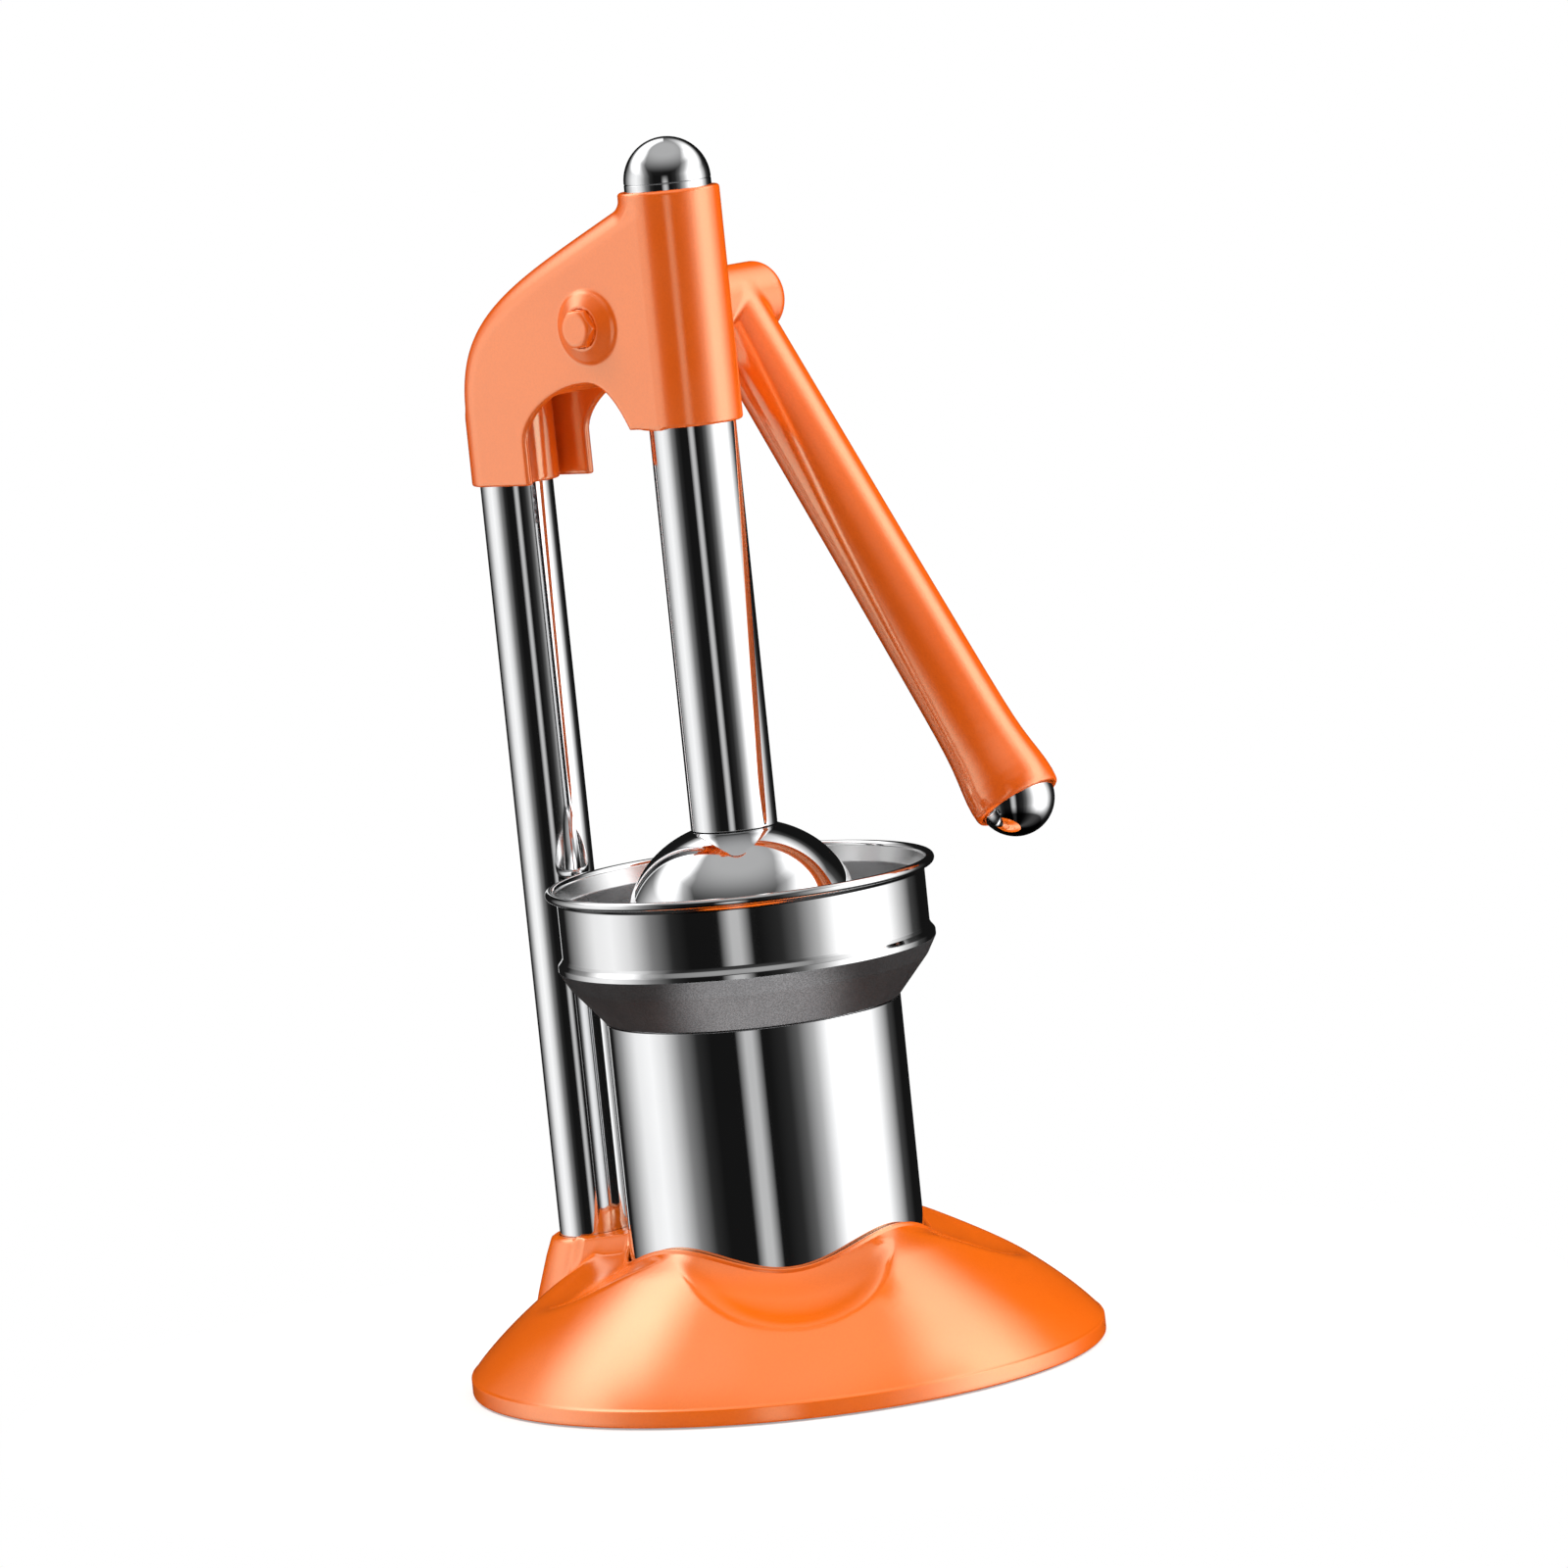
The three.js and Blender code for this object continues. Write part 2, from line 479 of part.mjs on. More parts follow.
function baseShell() {
  const wellOuter = WELL_RADIUS + WELL_WALL;
  const under = SHELL_WALL * 1.15;
  const rows = [];
  const fixed = (r, z) => rows.push(() => [r, z]);
  fixed(0, WELL_FLOOR_Z - WELL_FLOOR_THICKNESS);
  fixed(wellOuter, WELL_FLOOR_Z - WELL_FLOOR_THICKNESS);
  rows.push((phi) => [wellOuter, CROWN_Z - waveDrop(phi) - under - WELL_WALL]);
  for (const u of [0.5, 0]) {
    rows.push((phi) => {
      const [r, z] = scoopPoint(phi, u, under);
      return [Math.max(r, wellOuter + 1 - u), z];
    });
  }
  for (const u of [0.66, 0.33]) rows.push((phi) => skirtPoint(phi, u, under, SHELL_WALL));
  rows.push(() => [SHELL_INNER, skirtZ(SHELL_INNER) - under]);
  fixed(SHELL_INNER, BASE_CLEARANCE);
  fixed(BASE_RADIUS, BASE_CLEARANCE);
  for (const u of [0, 0.25, 0.5, 0.75]) rows.push((phi) => skirtPoint(phi, u, 0, 0));
  for (const u of [0, 0.33, 0.66, 1]) rows.push((phi) => scoopPoint(phi, u, 0));
  rows.push((phi) => [WELL_RADIUS, CROWN_Z - waveDrop(phi)]);
  fixed(WELL_RADIUS, WELL_FLOOR_Z);
  fixed(0, WELL_FLOOR_Z);

  const geometry = new THREE.LatheGeometry(rows.map((row) => at(...row(0))), FINE);
  geometry.rotateX(Math.PI / 2);
  const position = geometry.attributes.position;
  for (let i = 0; i < position.count; i++) {
    const step = Math.floor(i / rows.length) % FINE;
    const phi = (2 * Math.PI * step) / FINE - Math.PI / 2;
    const [r, z] = rows[i % rows.length](phi);
    position.setXYZ(i, r * Math.cos(phi), r * Math.sin(phi), z);
  }
  let body = solid(geometry);

  // the block that the column stands in, and the ridge that ties it to the rim
  const ring = ([wall, depth]) => {
    const points = [];
    const radius = COLUMN_RADIUS + wall;
    for (let i = 0; i < SMALL; i++) {
      const a = (2 * Math.PI * i) / SMALL;
      const [x, y] = [radius * Math.cos(a), COLUMN_Y + radius * Math.sin(a)];
      points.push(new THREE.Vector3(x, y, CROWN_Z - depth));
    }
    return points;
  };
  const block = solid(new ConvexGeometry(SOCKET_RINGS.flatMap(ring)));
  const ridge = [];
  for (const side of [-1, 1]) {
    for (const [half, y, drop] of [
      [SADDLE_CUP_HALF, WELL_RADIUS - SADDLE_OVERLAP, SADDLE_CUP_DROP],
      [SADDLE_BLOCK_HALF, COLUMN_Y - SADDLE_BLOCK_REACH, SADDLE_BLOCK_DROP],
    ]) {
      const foot = side * (half + SADDLE_SPREAD);
      ridge.push(new THREE.Vector3(side * half, y, CROWN_Z - drop));
      ridge.push(new THREE.Vector3(foot, y, CROWN_Z - SADDLE_HEIGHT));
    }
  }
  const saddle = solid(new ConvexGeometry(ridge));
  const well = rod(WELL_RADIUS, WELL_FLOOR_Z, CROWN_Z + WAVE_DROP, FINE);
  body = body.add(block).add(saddle).subtract(well);

  // screw bosses under the skirt
  for (const angle of PLATE_SCREW_ANGLES) {
    const [x, y] = polar(PLATE_SCREW_CIRCLE, angle);
    const sunk = SHELL_WALL / 2 + waveDrop(rad(angle)) / 4;
    const top = skirtZ(PLATE_SCREW_CIRCLE + BOSS_RADIUS) - sunk;
    body = body.add(rod(BOSS_RADIUS, INNER_FLOOR_Z, top, TINY).translate([x, y, 0]));
  }

  // bores for the column and the screws, and room for the plate
  const bore = rod(COLUMN_RADIUS + GAP, INNER_FLOOR_Z - OVERCUT, CROWN_Z + OVERCUT);
  body = body.subtract(bore.translate([0, COLUMN_Y, 0]));
  for (const angle of PLATE_SCREW_ANGLES) {
    const [x, y] = polar(PLATE_SCREW_CIRCLE, angle);
    const top = PLATE_TOP_Z + SCREW_LENGTH - PLATE_THICKNESS;
    body = body.subtract(rod(SCREW_RADIUS + GAP, 0, top, TINY).translate([x, y, 0]));
  }
  const room = rod(SHELL_INNER, BASE_CLEARANCE - OVERCUT, INNER_FLOOR_Z, FINE);
  return body.subtract(room);
}

// ---------------------------------------------------------------- base plate, feet and fasteners
function basePlate() {
  let body = rod(SHELL_INNER - GAP, PLATE_Z, PLATE_TOP_Z, FINE);
  for (const angle of PLATE_SCREW_ANGLES) {
    const [x, y] = polar(PLATE_SCREW_CIRCLE, angle);
    const hole = rod(SCREW_RADIUS + GAP, PLATE_Z - OVERCUT, PLATE_TOP_Z + OVERCUT, TINY);
    body = body.subtract(hole.translate([x, y, 0]));
  }
  const hole = rod(BOLT_RADIUS + GAP, PLATE_Z - OVERCUT, PLATE_TOP_Z + OVERCUT, TINY);
  return body.subtract(hole.translate([0, COLUMN_Y, 0]));
}

function foot() {
  const rest = FOOT_RADIUS - FOOT_EDGE;
  return turned(
    [
      [0, 0],
      [rest, 0],
      [FOOT_RADIUS, FOOT_EDGE],
      [FOOT_RADIUS, FOOT_HEIGHT],
      [0, FOOT_HEIGHT],
    ],
    SMALL,
  );
}

function panScrew() {
  const seat = PLATE_Z - GAP;
  return turned(
    [
      [0, seat - SCREW_HEAD_HEIGHT],
      [SCREW_HEAD_RADIUS * 0.7, seat - SCREW_HEAD_HEIGHT],
      [SCREW_HEAD_RADIUS, seat - SCREW_HEAD_HEIGHT / 2],
      [SCREW_HEAD_RADIUS, seat],
      [SCREW_RADIUS, seat],
      [SCREW_RADIUS, seat + SCREW_LENGTH],
      [0, seat + SCREW_LENGTH],
    ],
    TINY,
  );
}

const columnWasher = () =>
  turned(
    ringPairs(BOLT_RADIUS + GAP, WASHER_RADIUS, PLATE_Z - GAP - WASHER_THICKNESS, PLATE_Z - GAP),
    SMALL,
  );

function columnBolt() {
  const seat = PLATE_Z - 2 * GAP - WASHER_THICKNESS;
  return hexHead(BOLT_HEAD_RADIUS, seat - BOLT_HEAD_HEIGHT, seat).add(
    rod(BOLT_RADIUS, seat - 1, PLATE_TOP_Z + BOLT_LENGTH, TINY),
  );
}

// ---------------------------------------------------------------- column
function column() {
  let body = rod(COLUMN_RADIUS, COLUMN_Z, COLUMN_TOP_Z, ROUND, COLUMN_EDGE);
  const tapped = rod(BOLT_RADIUS + GAP, COLUMN_Z - OVERCUT, COLUMN_Z + BOLT_LENGTH + GAP, TINY);
  body = body.subtract(tapped).translate([0, COLUMN_Y, 0]);
  // shallow seats for the grub screws' points
  const tip = LEG_SOCKET_REAR_Y - GAP - GRUB_LENGTH;
  const seat = rodPairs(GRUB_RADIUS + GAP, tip - GAP, LEG_SOCKET_REAR_Y);
  for (const height of GRUB_HEIGHTS) {
    body = body.subtract(turnedY(seat, 0, HEAD_BOTTOM_Z + height, TINY));
  }
  return body;
}

// ---------------------------------------------------------------- head
function headShell() {
  // outline of the web and leg, without the arch
  const slope = rad(HEAD_SLOPE);
  const top = SLEEVE_TOP_Z + HEAD_TOP_RISE;
  const outline = new THREE.Shape();
  outline.moveTo(0, HEAD_BOTTOM_Z - 2 * HEAD_ROUND);
  outline.lineTo(LEG_REAR_Y, HEAD_BOTTOM_Z - 2 * HEAD_ROUND);
  outline.lineTo(LEG_REAR_Y, HEAD_REAR_TOP_Z);
  outline.bezierCurveTo(
    LEG_REAR_Y,
    HEAD_REAR_TOP_Z + HEAD_REAR_PULL,
    HEAD_SLOPE_PULL * Math.cos(slope),
    top - HEAD_SLOPE_PULL * Math.sin(slope),
    0,
    top,
  );
  outline.lineTo(-2 * HEAD_ROUND, top + 2 * HEAD_ROUND * Math.tan(slope));
  outline.lineTo(-2 * HEAD_ROUND, HEAD_BOTTOM_Z - 2 * HEAD_ROUND);
  const web = plateX(outline, -HEAD_HALF_WIDTH, HEAD_HALF_WIDTH, {
    bevelSize: HEAD_ROUND,
    bevelSegments: 4,
    curveSegments: 14,
  });
  // keep the part behind the sleeve's axis and above the leg's lower edge
  const kept = box(
    [-HEAD_HALF_WIDTH - OVERCUT, HEAD_HALF_WIDTH + OVERCUT],
    [0, LEG_REAR_Y + OVERCUT],
    [HEAD_BOTTOM_Z, SLEEVE_TOP_Z],
  );
  let body = web.intersect(kept);

  // the arch between sleeve and leg
  const [archY, archZ] = [ARCH_TOP_Y, ARCH_TOP_Z];
  const reach = LEG_FRONT_Y - archY;
  const rise = archZ - ARCH_SPRING_Z;
  const arch = new THREE.Shape();
  arch.moveTo(-OVERCUT, HEAD_BOTTOM_Z - OVERCUT);
  arch.lineTo(LEG_FRONT_Y, HEAD_BOTTOM_Z - OVERCUT);
  arch.lineTo(LEG_FRONT_Y, ARCH_SPRING_Z);
  arch.bezierCurveTo(
    LEG_FRONT_Y,
    ARCH_SPRING_Z + 0.48 * rise,
    archY + 0.48 * reach,
    archZ,
    archY,
    archZ,
  );
  const drop = archZ - SLEEVE_BOTTOM_Z;
  const span = archY - ARCH_FRONT_Y;
  arch.bezierCurveTo(
    archY - 0.36 * span,
    archZ,
    archY - 0.69 * span,
    archZ - 0.33 * drop,
    ARCH_FRONT_Y,
    SLEEVE_BOTTOM_Z,
  );
  arch.lineTo(-OVERCUT, SLEEVE_BOTTOM_Z);
  body = body.subtract(
    plateX(arch, -HEAD_HALF_WIDTH - OVERCUT, HEAD_HALF_WIDTH + OVERCUT, { curveSegments: 9 }),
  );

  // hollow front of the leg, with the round housing of the column in it
  const inner = HEAD_HALF_WIDTH - RECESS_LIP;
  let recess = box(
    [-inner, inner],
    [ARCH_TOP_Y, COLUMN_Y - RECESS_END],
    [HEAD_BOTTOM_Z - OVERCUT, RECESS_TOP_Z],
  );
  const front = SHAFT_Y + CHAMBER_RADIUS + SHELL_WALL;
  recess = recess.subtract(
    box([-inner - 1, inner + 1], [0, front], [HEAD_BOTTOM_Z - 2 * OVERCUT, RECESS_TOP_Z + 1]),
  );
  const housing = rod(LEG_SOCKET_RADIUS, HEAD_BOTTOM_Z - 2 * OVERCUT, RECESS_TOP_Z + OVERCUT);
  body = body.subtract(recess.subtract(housing.translate([0, COLUMN_Y, 0])));

  // the housing stands out behind the leg, with a rounded top
  const cap = LEG_SOCKET_CAP.map(([inwards, height]) => [
    LEG_SOCKET_RADIUS - inwards,
    HEAD_BOTTOM_Z + height,
  ]);
  const capTop = cap[cap.length - 1][1];
  const behind = turned([
    [0, HEAD_BOTTOM_Z],
    [LEG_SOCKET_RADIUS, HEAD_BOTTOM_Z],
    ...cap,
    [0, capTop],
  ]);
  body = body.add(behind.translate([0, COLUMN_Y, 0]));

  // sleeve round the plunger and cone round the shaft's near end
  body = body.add(rod(SLEEVE_RADIUS, SLEEVE_BOTTOM_Z, SLEEVE_TOP_Z, FINE));
  const boss = [
    [0, BOSS_FACE_X],
    [HUB_BOSS_TOP, BOSS_FACE_X],
    [HUB_BOSS_BASE, -HEAD_HALF_WIDTH],
    [HUB_BOSS_BASE, -HEAD_HALF_WIDTH + 1],
    [0, -HEAD_HALF_WIDTH + 1],
  ];
  body = body.add(turnedX(boss, SHAFT_Y, SHAFT_Z, ROUND));

  // bores: plunger, pinion chamber open at the far side, near bush, column
  body = body.subtract(rod(SLEEVE_BORE, SLEEVE_BOTTOM_Z - OVERCUT, SLEEVE_TOP_Z + OVERCUT));
  const far = HEAD_HALF_WIDTH + OVERCUT;
  body = body.subtract(turnedX(rodPairs(CHAMBER_RADIUS, -CHAMBER_HALF, far), SHAFT_Y, SHAFT_Z));
  const near = NEAR_BUSH_RADIUS + GAP;
  body = body.subtract(
    turnedX(rodPairs(near, BOSS_FACE_X - OVERCUT, -CHAMBER_HALF + 1), SHAFT_Y, SHAFT_Z, SMALL),
  );
  const socket = rod(COLUMN_RADIUS + GAP, HEAD_BOTTOM_Z - OVERCUT, COLUMN_TOP_Z + GAP, ROUND);
  body = body.subtract(socket.translate([0, COLUMN_Y, 0]));
  const grub = rodPairs(GRUB_RADIUS + GAP, COLUMN_Y, LEG_SOCKET_REAR_Y + OVERCUT);
  for (const height of GRUB_HEIGHTS) {
    body = body.subtract(turnedY(grub, 0, HEAD_BOTTOM_Z + height, TINY));
  }
  return body;
}

function grubScrew() {
  const rear = LEG_SOCKET_REAR_Y - GAP;
  const body = turned(rodPairs(GRUB_RADIUS, 0, GRUB_LENGTH, GRUB_EDGE), TINY);
  const socket = hexHead(HEX_SOCKET, GRUB_LENGTH - HEX_SOCKET_DEPTH, GRUB_LENGTH + OVERCUT);
  return body.subtract(socket).rotate([-90, 0, 0]).translate([0, rear - GRUB_LENGTH, 0]);
}

// ---------------------------------------------------------------- shaft, bearings, pinion, rack
// Flanged bearing that closes the pinion chamber; the plunger passes through a notch in it.
function shaftBearing() {
  const bore = SHAFT_RADIUS + GAP;
  const body = turnedX(
    [
      [bore, CHAMBER_HALF],
      [CHAMBER_RADIUS - GAP, CHAMBER_HALF],
      [CHAMBER_RADIUS - GAP, HEAD_HALF_WIDTH + GAP],
      [BEARING_FLANGE_RADIUS, HEAD_HALF_WIDTH + GAP],
      [BEARING_FLANGE_RADIUS, BEARING_FACE_X],
      [bore, BEARING_FACE_X],
    ],
    SHAFT_Y,
    SHAFT_Z,
  );
  const notch = rod(SLEEVE_BORE + GAP, SLEEVE_BOTTOM_Z, SLEEVE_TOP_Z);
  return body.subtract(notch);
}

const nearBush = () =>
  turnedX(
    ringPairs(SHAFT_NEAR_RADIUS + GAP, NEAR_BUSH_RADIUS, -HEAD_HALF_WIDTH, -CHAMBER_HALF),
    SHAFT_Y,
    SHAFT_Z,
    SMALL,
  );

function driveShaft() {
  const body = turnedX(
    [
      [0, -HEAD_HALF_WIDTH],
      [SHAFT_NEAR_RADIUS, -HEAD_HALF_WIDTH],
      [SHAFT_NEAR_RADIUS, SHAFT_NEAR_X],
      [SHAFT_RADIUS, SHAFT_NEAR_X],
      [SHAFT_RADIUS, SHAFT_END_X],
      [0, SHAFT_END_X],
    ],
    SHAFT_Y,
    SHAFT_Z,
    SMALL,
  );
  const half = PINION_WIDTH / 2;
  const keyway = box(
    [-half - GAP, half + GAP],
    [SHAFT_Y + SHAFT_RADIUS - KEY_HEIGHT / 2 - GAP, SHAFT_Y + SHAFT_RADIUS + OVERCUT],
    [SHAFT_Z - KEY_WIDTH / 2 - GAP, SHAFT_Z + KEY_WIDTH / 2 + GAP],
  );
  return body.subtract(keyway);
}

const pinionKey = () =>
  box(
    [-PINION_WIDTH / 2, PINION_WIDTH / 2],
    [SHAFT_Y + SHAFT_RADIUS - KEY_HEIGHT / 2, SHAFT_Y + SHAFT_RADIUS + KEY_HEIGHT / 2],
    [SHAFT_Z - KEY_WIDTH / 2, SHAFT_Z + KEY_WIDTH / 2],
  );

// Involute teeth; a tooth space faces the rack.
function pinion() {
  const base = PITCH_RADIUS * Math.cos(rad(PRESSURE_ANGLE));
  const inv = (a) => Math.tan(a) - a;
  const halfAtPitch = Math.PI / (2 * PINION_TEETH) - BACKLASH / PITCH_RADIUS;
  const flank = [];
  const steps = 3;
  for (let i = 0; i <= steps; i++) {
    const radius = Math.max(base, ROOT_RADIUS) + ((TIP_RADIUS - base) * i) / steps;
    const angle = Math.acos(Math.min(1, base / radius));
    flank.push([radius, halfAtPitch + inv(rad(PRESSURE_ANGLE)) - inv(angle)]);
  }
  const outline = [];
  const onGear = (radius, angle) => at(radius * Math.cos(angle), radius * Math.sin(angle));
  for (let tooth = 0; tooth < PINION_TEETH; tooth++) {
    const middle = Math.PI + ((tooth + 0.5) * 2 * Math.PI) / PINION_TEETH;
    outline.push(onGear(ROOT_RADIUS, middle - flank[0][1] - 0.01));
    for (const [radius, half] of flank) outline.push(onGear(radius, middle - half));
    for (const [radius, half] of flank.toReversed()) outline.push(onGear(radius, middle + half));
    outline.push(onGear(ROOT_RADIUS, middle + flank[0][1] + 0.01));
  }
  const half = PINION_WIDTH / 2;
  const body = plateX(new THREE.Shape(outline), -half, half).translate([0, SHAFT_Y, SHAFT_Z]);
  const bore = turnedX(
    rodPairs(SHAFT_RADIUS + GAP, -half - OVERCUT, half + OVERCUT),
    SHAFT_Y,
    SHAFT_Z,
    SMALL,
  );
  const keyway = box(
    [-half - OVERCUT, half + OVERCUT],
    [SHAFT_Y, SHAFT_Y + SHAFT_RADIUS + KEY_HEIGHT / 2 + GAP],
    [SHAFT_Z - KEY_WIDTH / 2 - GAP, SHAFT_Z + KEY_WIDTH / 2 + GAP],
  );
  return body.subtract(bore).subtract(keyway);
}

function rack() {
  const lean = Math.tan(rad(PRESSURE_ANGLE));
  const half = PITCH / 4 - BACKLASH;
  const pitchY = RACK_TIP - MODULE;
  const outline = new THREE.Shape();
  outline.moveTo(RACK_BACK, RACK_LOW_Z - RACK_TONGUE);
  outline.lineTo(TONGUE_TOP, RACK_LOW_Z - RACK_TONGUE);
  outline.lineTo(TONGUE_TOP, RACK_LOW_Z);
  outline.lineTo(RACK_ROOT, RACK_LOW_Z);
  for (let k = -RACK_TEETH_BELOW; k <= RACK_TEETH_ABOVE; k++) {
    const z = SHAFT_Z + k * PITCH;
    const atRoot = half + (pitchY - RACK_ROOT) * lean;
    const atTip = half - MODULE * lean;
    outline.lineTo(RACK_ROOT, z - atRoot);
    outline.lineTo(RACK_TIP, z - atTip);
    outline.lineTo(RACK_TIP, z + atTip);
    outline.lineTo(RACK_ROOT, z + atRoot);
  }
  outline.lineTo(RACK_ROOT, RACK_HIGH_Z);
  outline.lineTo(TONGUE_TOP, RACK_HIGH_Z);
  outline.lineTo(TONGUE_TOP, RACK_HIGH_Z + RACK_TONGUE);
  outline.lineTo(RACK_BACK, RACK_HIGH_Z + RACK_TONGUE);
  let body = plateX(outline, -RACK_WIDTH / 2, RACK_WIDTH / 2);
  // tooth tips are rounded to the plunger's own surface
  const round = rod(RACK_TIP, RACK_LOW_Z - 2 * RACK_TONGUE, RACK_HIGH_Z + 2 * RACK_TONGUE);
  body = body.intersect(round);
  for (const z of RACK_SCREW_Z) {
    const hole = turnedY(
      rodPairs(RACK_SCREW_RADIUS + GAP, RACK_SCREW_END - GAP, PLUNGER_RADIUS),
      0,
      z,
      TINY,
    );
    body = body.subtract(hole);
  }
  return body;
}

function rackScrewPairs(grow) {
  const top = PLUNGER_RADIUS - GAP + (grow ? OVERCUT : 0);
  const face = PLUNGER_RADIUS - GAP;
  const sink = RACK_SCREW_HEAD - RACK_SCREW_RADIUS;
  const pairs = [
    [0, RACK_SCREW_END - grow],
    [RACK_SCREW_RADIUS + grow, RACK_SCREW_END - grow],
    [RACK_SCREW_RADIUS + grow, face - sink],
    [RACK_SCREW_HEAD + grow, face],
  ];
  if (grow) pairs.push([RACK_SCREW_HEAD + grow, top]);
  pairs.push([0, top]);
  return pairs;
}

const rackScrew = () => turnedY(rackScrewPairs(0), 0, 0, TINY);

// ---------------------------------------------------------------- plunger
function plungerTube() {
  let body = turned(ringPairs(PLUNGER_BORE, PLUNGER_RADIUS, PLUNGER_Z, PLUNGER_TOP_Z));
  const slot = box(
    [-RACK_WIDTH / 2 - GAP, RACK_WIDTH / 2 + GAP],
    [0, PLUNGER_RADIUS + OVERCUT],
    [RACK_LOW_Z - GAP, RACK_HIGH_Z + GAP],
  );
  body = body.subtract(slot);
  for (const z of RACK_SCREW_Z) {
    body = body.subtract(turnedY(rackScrewPairs(GAP), 0, z, TINY));
  }
  return body;
}

function plungerCap() {
  const z = PLUNGER_TOP_Z + GAP;
  const pairs = [
    [0, z - CAP_SPIGOT],
    [PLUNGER_BORE - GAP, z - CAP_SPIGOT],
    [PLUNGER_BORE - GAP, z],
    [PLUNGER_RADIUS, z],
  ];
  for (let i = 1; i < 7; i++) {
    const a = (Math.PI / 2) * (i / 7);
    pairs.push([PLUNGER_RADIUS * Math.cos(a), z + PLUNGER_RADIUS * Math.sin(a)]);
  }
  pairs.push([0, z + PLUNGER_RADIUS]);
  return turned(pairs);
}

const plungerPlug = () =>
  rod(PLUNGER_BORE - GAP, PLUNGER_Z, PLUNGER_Z + PLUG_LENGTH, ROUND).subtract(
    rod(PRESS_BOLT_RADIUS + GAP, PLUNGER_Z - OVERCUT, PLUNGER_Z + PRESS_BOLT_LENGTH + GAP, TINY),
  );

function pressDome() {
  const inner = PRESS_RADIUS - PRESS_WALL;
  const seat = PRESS_TOP_Z - PRESS_CENTRE_Z;
  const start = Math.asin(seat / PRESS_RADIUS);
  const innerStart = Math.asin((seat - PRESS_WALL) / inner);
  const pairs = [[inner, PRESS_EDGE_Z], [PRESS_RADIUS, PRESS_EDGE_Z]];
  const steps = 7;
  for (let i = 0; i <= steps; i++) {
    const a = (start * i) / steps;
    pairs.push([PRESS_RADIUS * Math.cos(a), PRESS_CENTRE_Z + PRESS_RADIUS * Math.sin(a)]);
  }
  const hole = PRESS_BOLT_RADIUS + GAP;
  pairs.push([hole, PRESS_TOP_Z], [hole, PRESS_TOP_Z - PRESS_WALL]);
  for (let i = steps; i >= 0; i--) {
    const a = (innerStart * i) / steps;
    pairs.push([inner * Math.cos(a), PRESS_CENTRE_Z + inner * Math.sin(a)]);
  }
  return turned(pairs);
}

const pressWasherTop = PRESS_TOP_Z - PRESS_WALL - GAP;
const pressWasher = () =>
  turned(
    ringPairs(
      PRESS_BOLT_RADIUS + GAP,
      PRESS_WASHER_RADIUS,
      pressWasherTop - PRESS_WASHER_THICKNESS,
      pressWasherTop,
    ),
    SMALL,
  );

function pressBolt() {
  const seat = pressWasherTop - PRESS_WASHER_THICKNESS - GAP;
  return hexHead(PRESS_BOLT_HEAD, seat - PRESS_BOLT_HEAD_HEIGHT, seat).add(
    rod(PRESS_BOLT_RADIUS, seat - 1, PLUNGER_Z + PRESS_BOLT_LENGTH, TINY),
  );
}

// ---------------------------------------------------------------- cup, bowl and strainer
function juiceCup() {
  const z = CUP_Z;
  const inner = CUP_RADIUS - CUP_WALL;
  return turned(
    [
      [0, z + CUP_RAISE],
      [CUP_FOOT_INNER - CUP_RAISE, z + CUP_RAISE],
      [CUP_FOOT_INNER, z],
      [CUP_FOOT_OUTER, z],
      [CUP_RADIUS, z + CUP_CORNER],
      [CUP_RADIUS, CUP_TOP_Z],
      [inner, CUP_TOP_Z],
      [inner, z + CUP_CORNER + CUP_FLOOR / 2],
      [CUP_FOOT_OUTER - CUP_FLOOR / 2, z + CUP_FLOOR],
      [CUP_FOOT_INNER + CUP_FLOOR / 2, z + CUP_FLOOR],
      [CUP_FOOT_INNER - CUP_RAISE + CUP_FLOOR / 2, z + CUP_RAISE + CUP_FLOOR],
      [0, z + CUP_RAISE + CUP_FLOOR],
    ],
    FINE,
  );
}

function bowl() {
  const z = BOWL_Z;
  const w = BOWL_WALL;
  const [bandLow, bandHigh] = BOWL_BAND_Z;
  const rimZ = z + BOWL_RIM_Z;
  const outer = [
    [SPIGOT_RADIUS, z - BOWL_SPIGOT],
    [SPIGOT_RADIUS, z],
    [CUP_RADIUS, z],
    [BOWL_CONE_RADIUS, z + BOWL_CONE],
    [BOWL_BEAD_RADIUS - BOWL_BEAD_CHAMFER, z + BOWL_BEAD_Z - BOWL_BEAD_HALF],
    [BOWL_BEAD_RADIUS, z + BOWL_BEAD_Z],
    [BOWL_BEAD_RADIUS - BOWL_BEAD_CHAMFER, z + BOWL_BEAD_Z + BOWL_BEAD_HALF],
    [BOWL_BAND_RADIUS, z + bandLow],
    [BOWL_BAND_RADIUS, z + bandHigh],
  ];
  // the rolled rim, from its underside round to the inside
  const roll = [];
  for (const degrees of [-60, 0, 60, 120, 180, 240]) {
    roll.push([
      BOWL_RIM_RADIUS + BOWL_ROLL * Math.cos(rad(degrees)),
      rimZ + BOWL_ROLL * Math.sin(rad(degrees)),
    ]);
  }
  const inner = [
    [BOWL_BAND_RADIUS - w, z + bandHigh + w],
    [BOWL_BAND_RADIUS - w, z + bandLow - w / 2],
    [BOWL_BEAD_RADIUS - w - 0.2, z + BOWL_BEAD_Z],
    [BOWL_CONE_RADIUS - w, z + BOWL_CONE + w / 2],
    [CUP_RADIUS - w / 4, z + w],
    [SPIGOT_RADIUS - w, z + w],
    [SPIGOT_RADIUS - w, z - BOWL_SPIGOT],
  ];
  return turned([...outer, ...roll, ...inner], FINE);
}

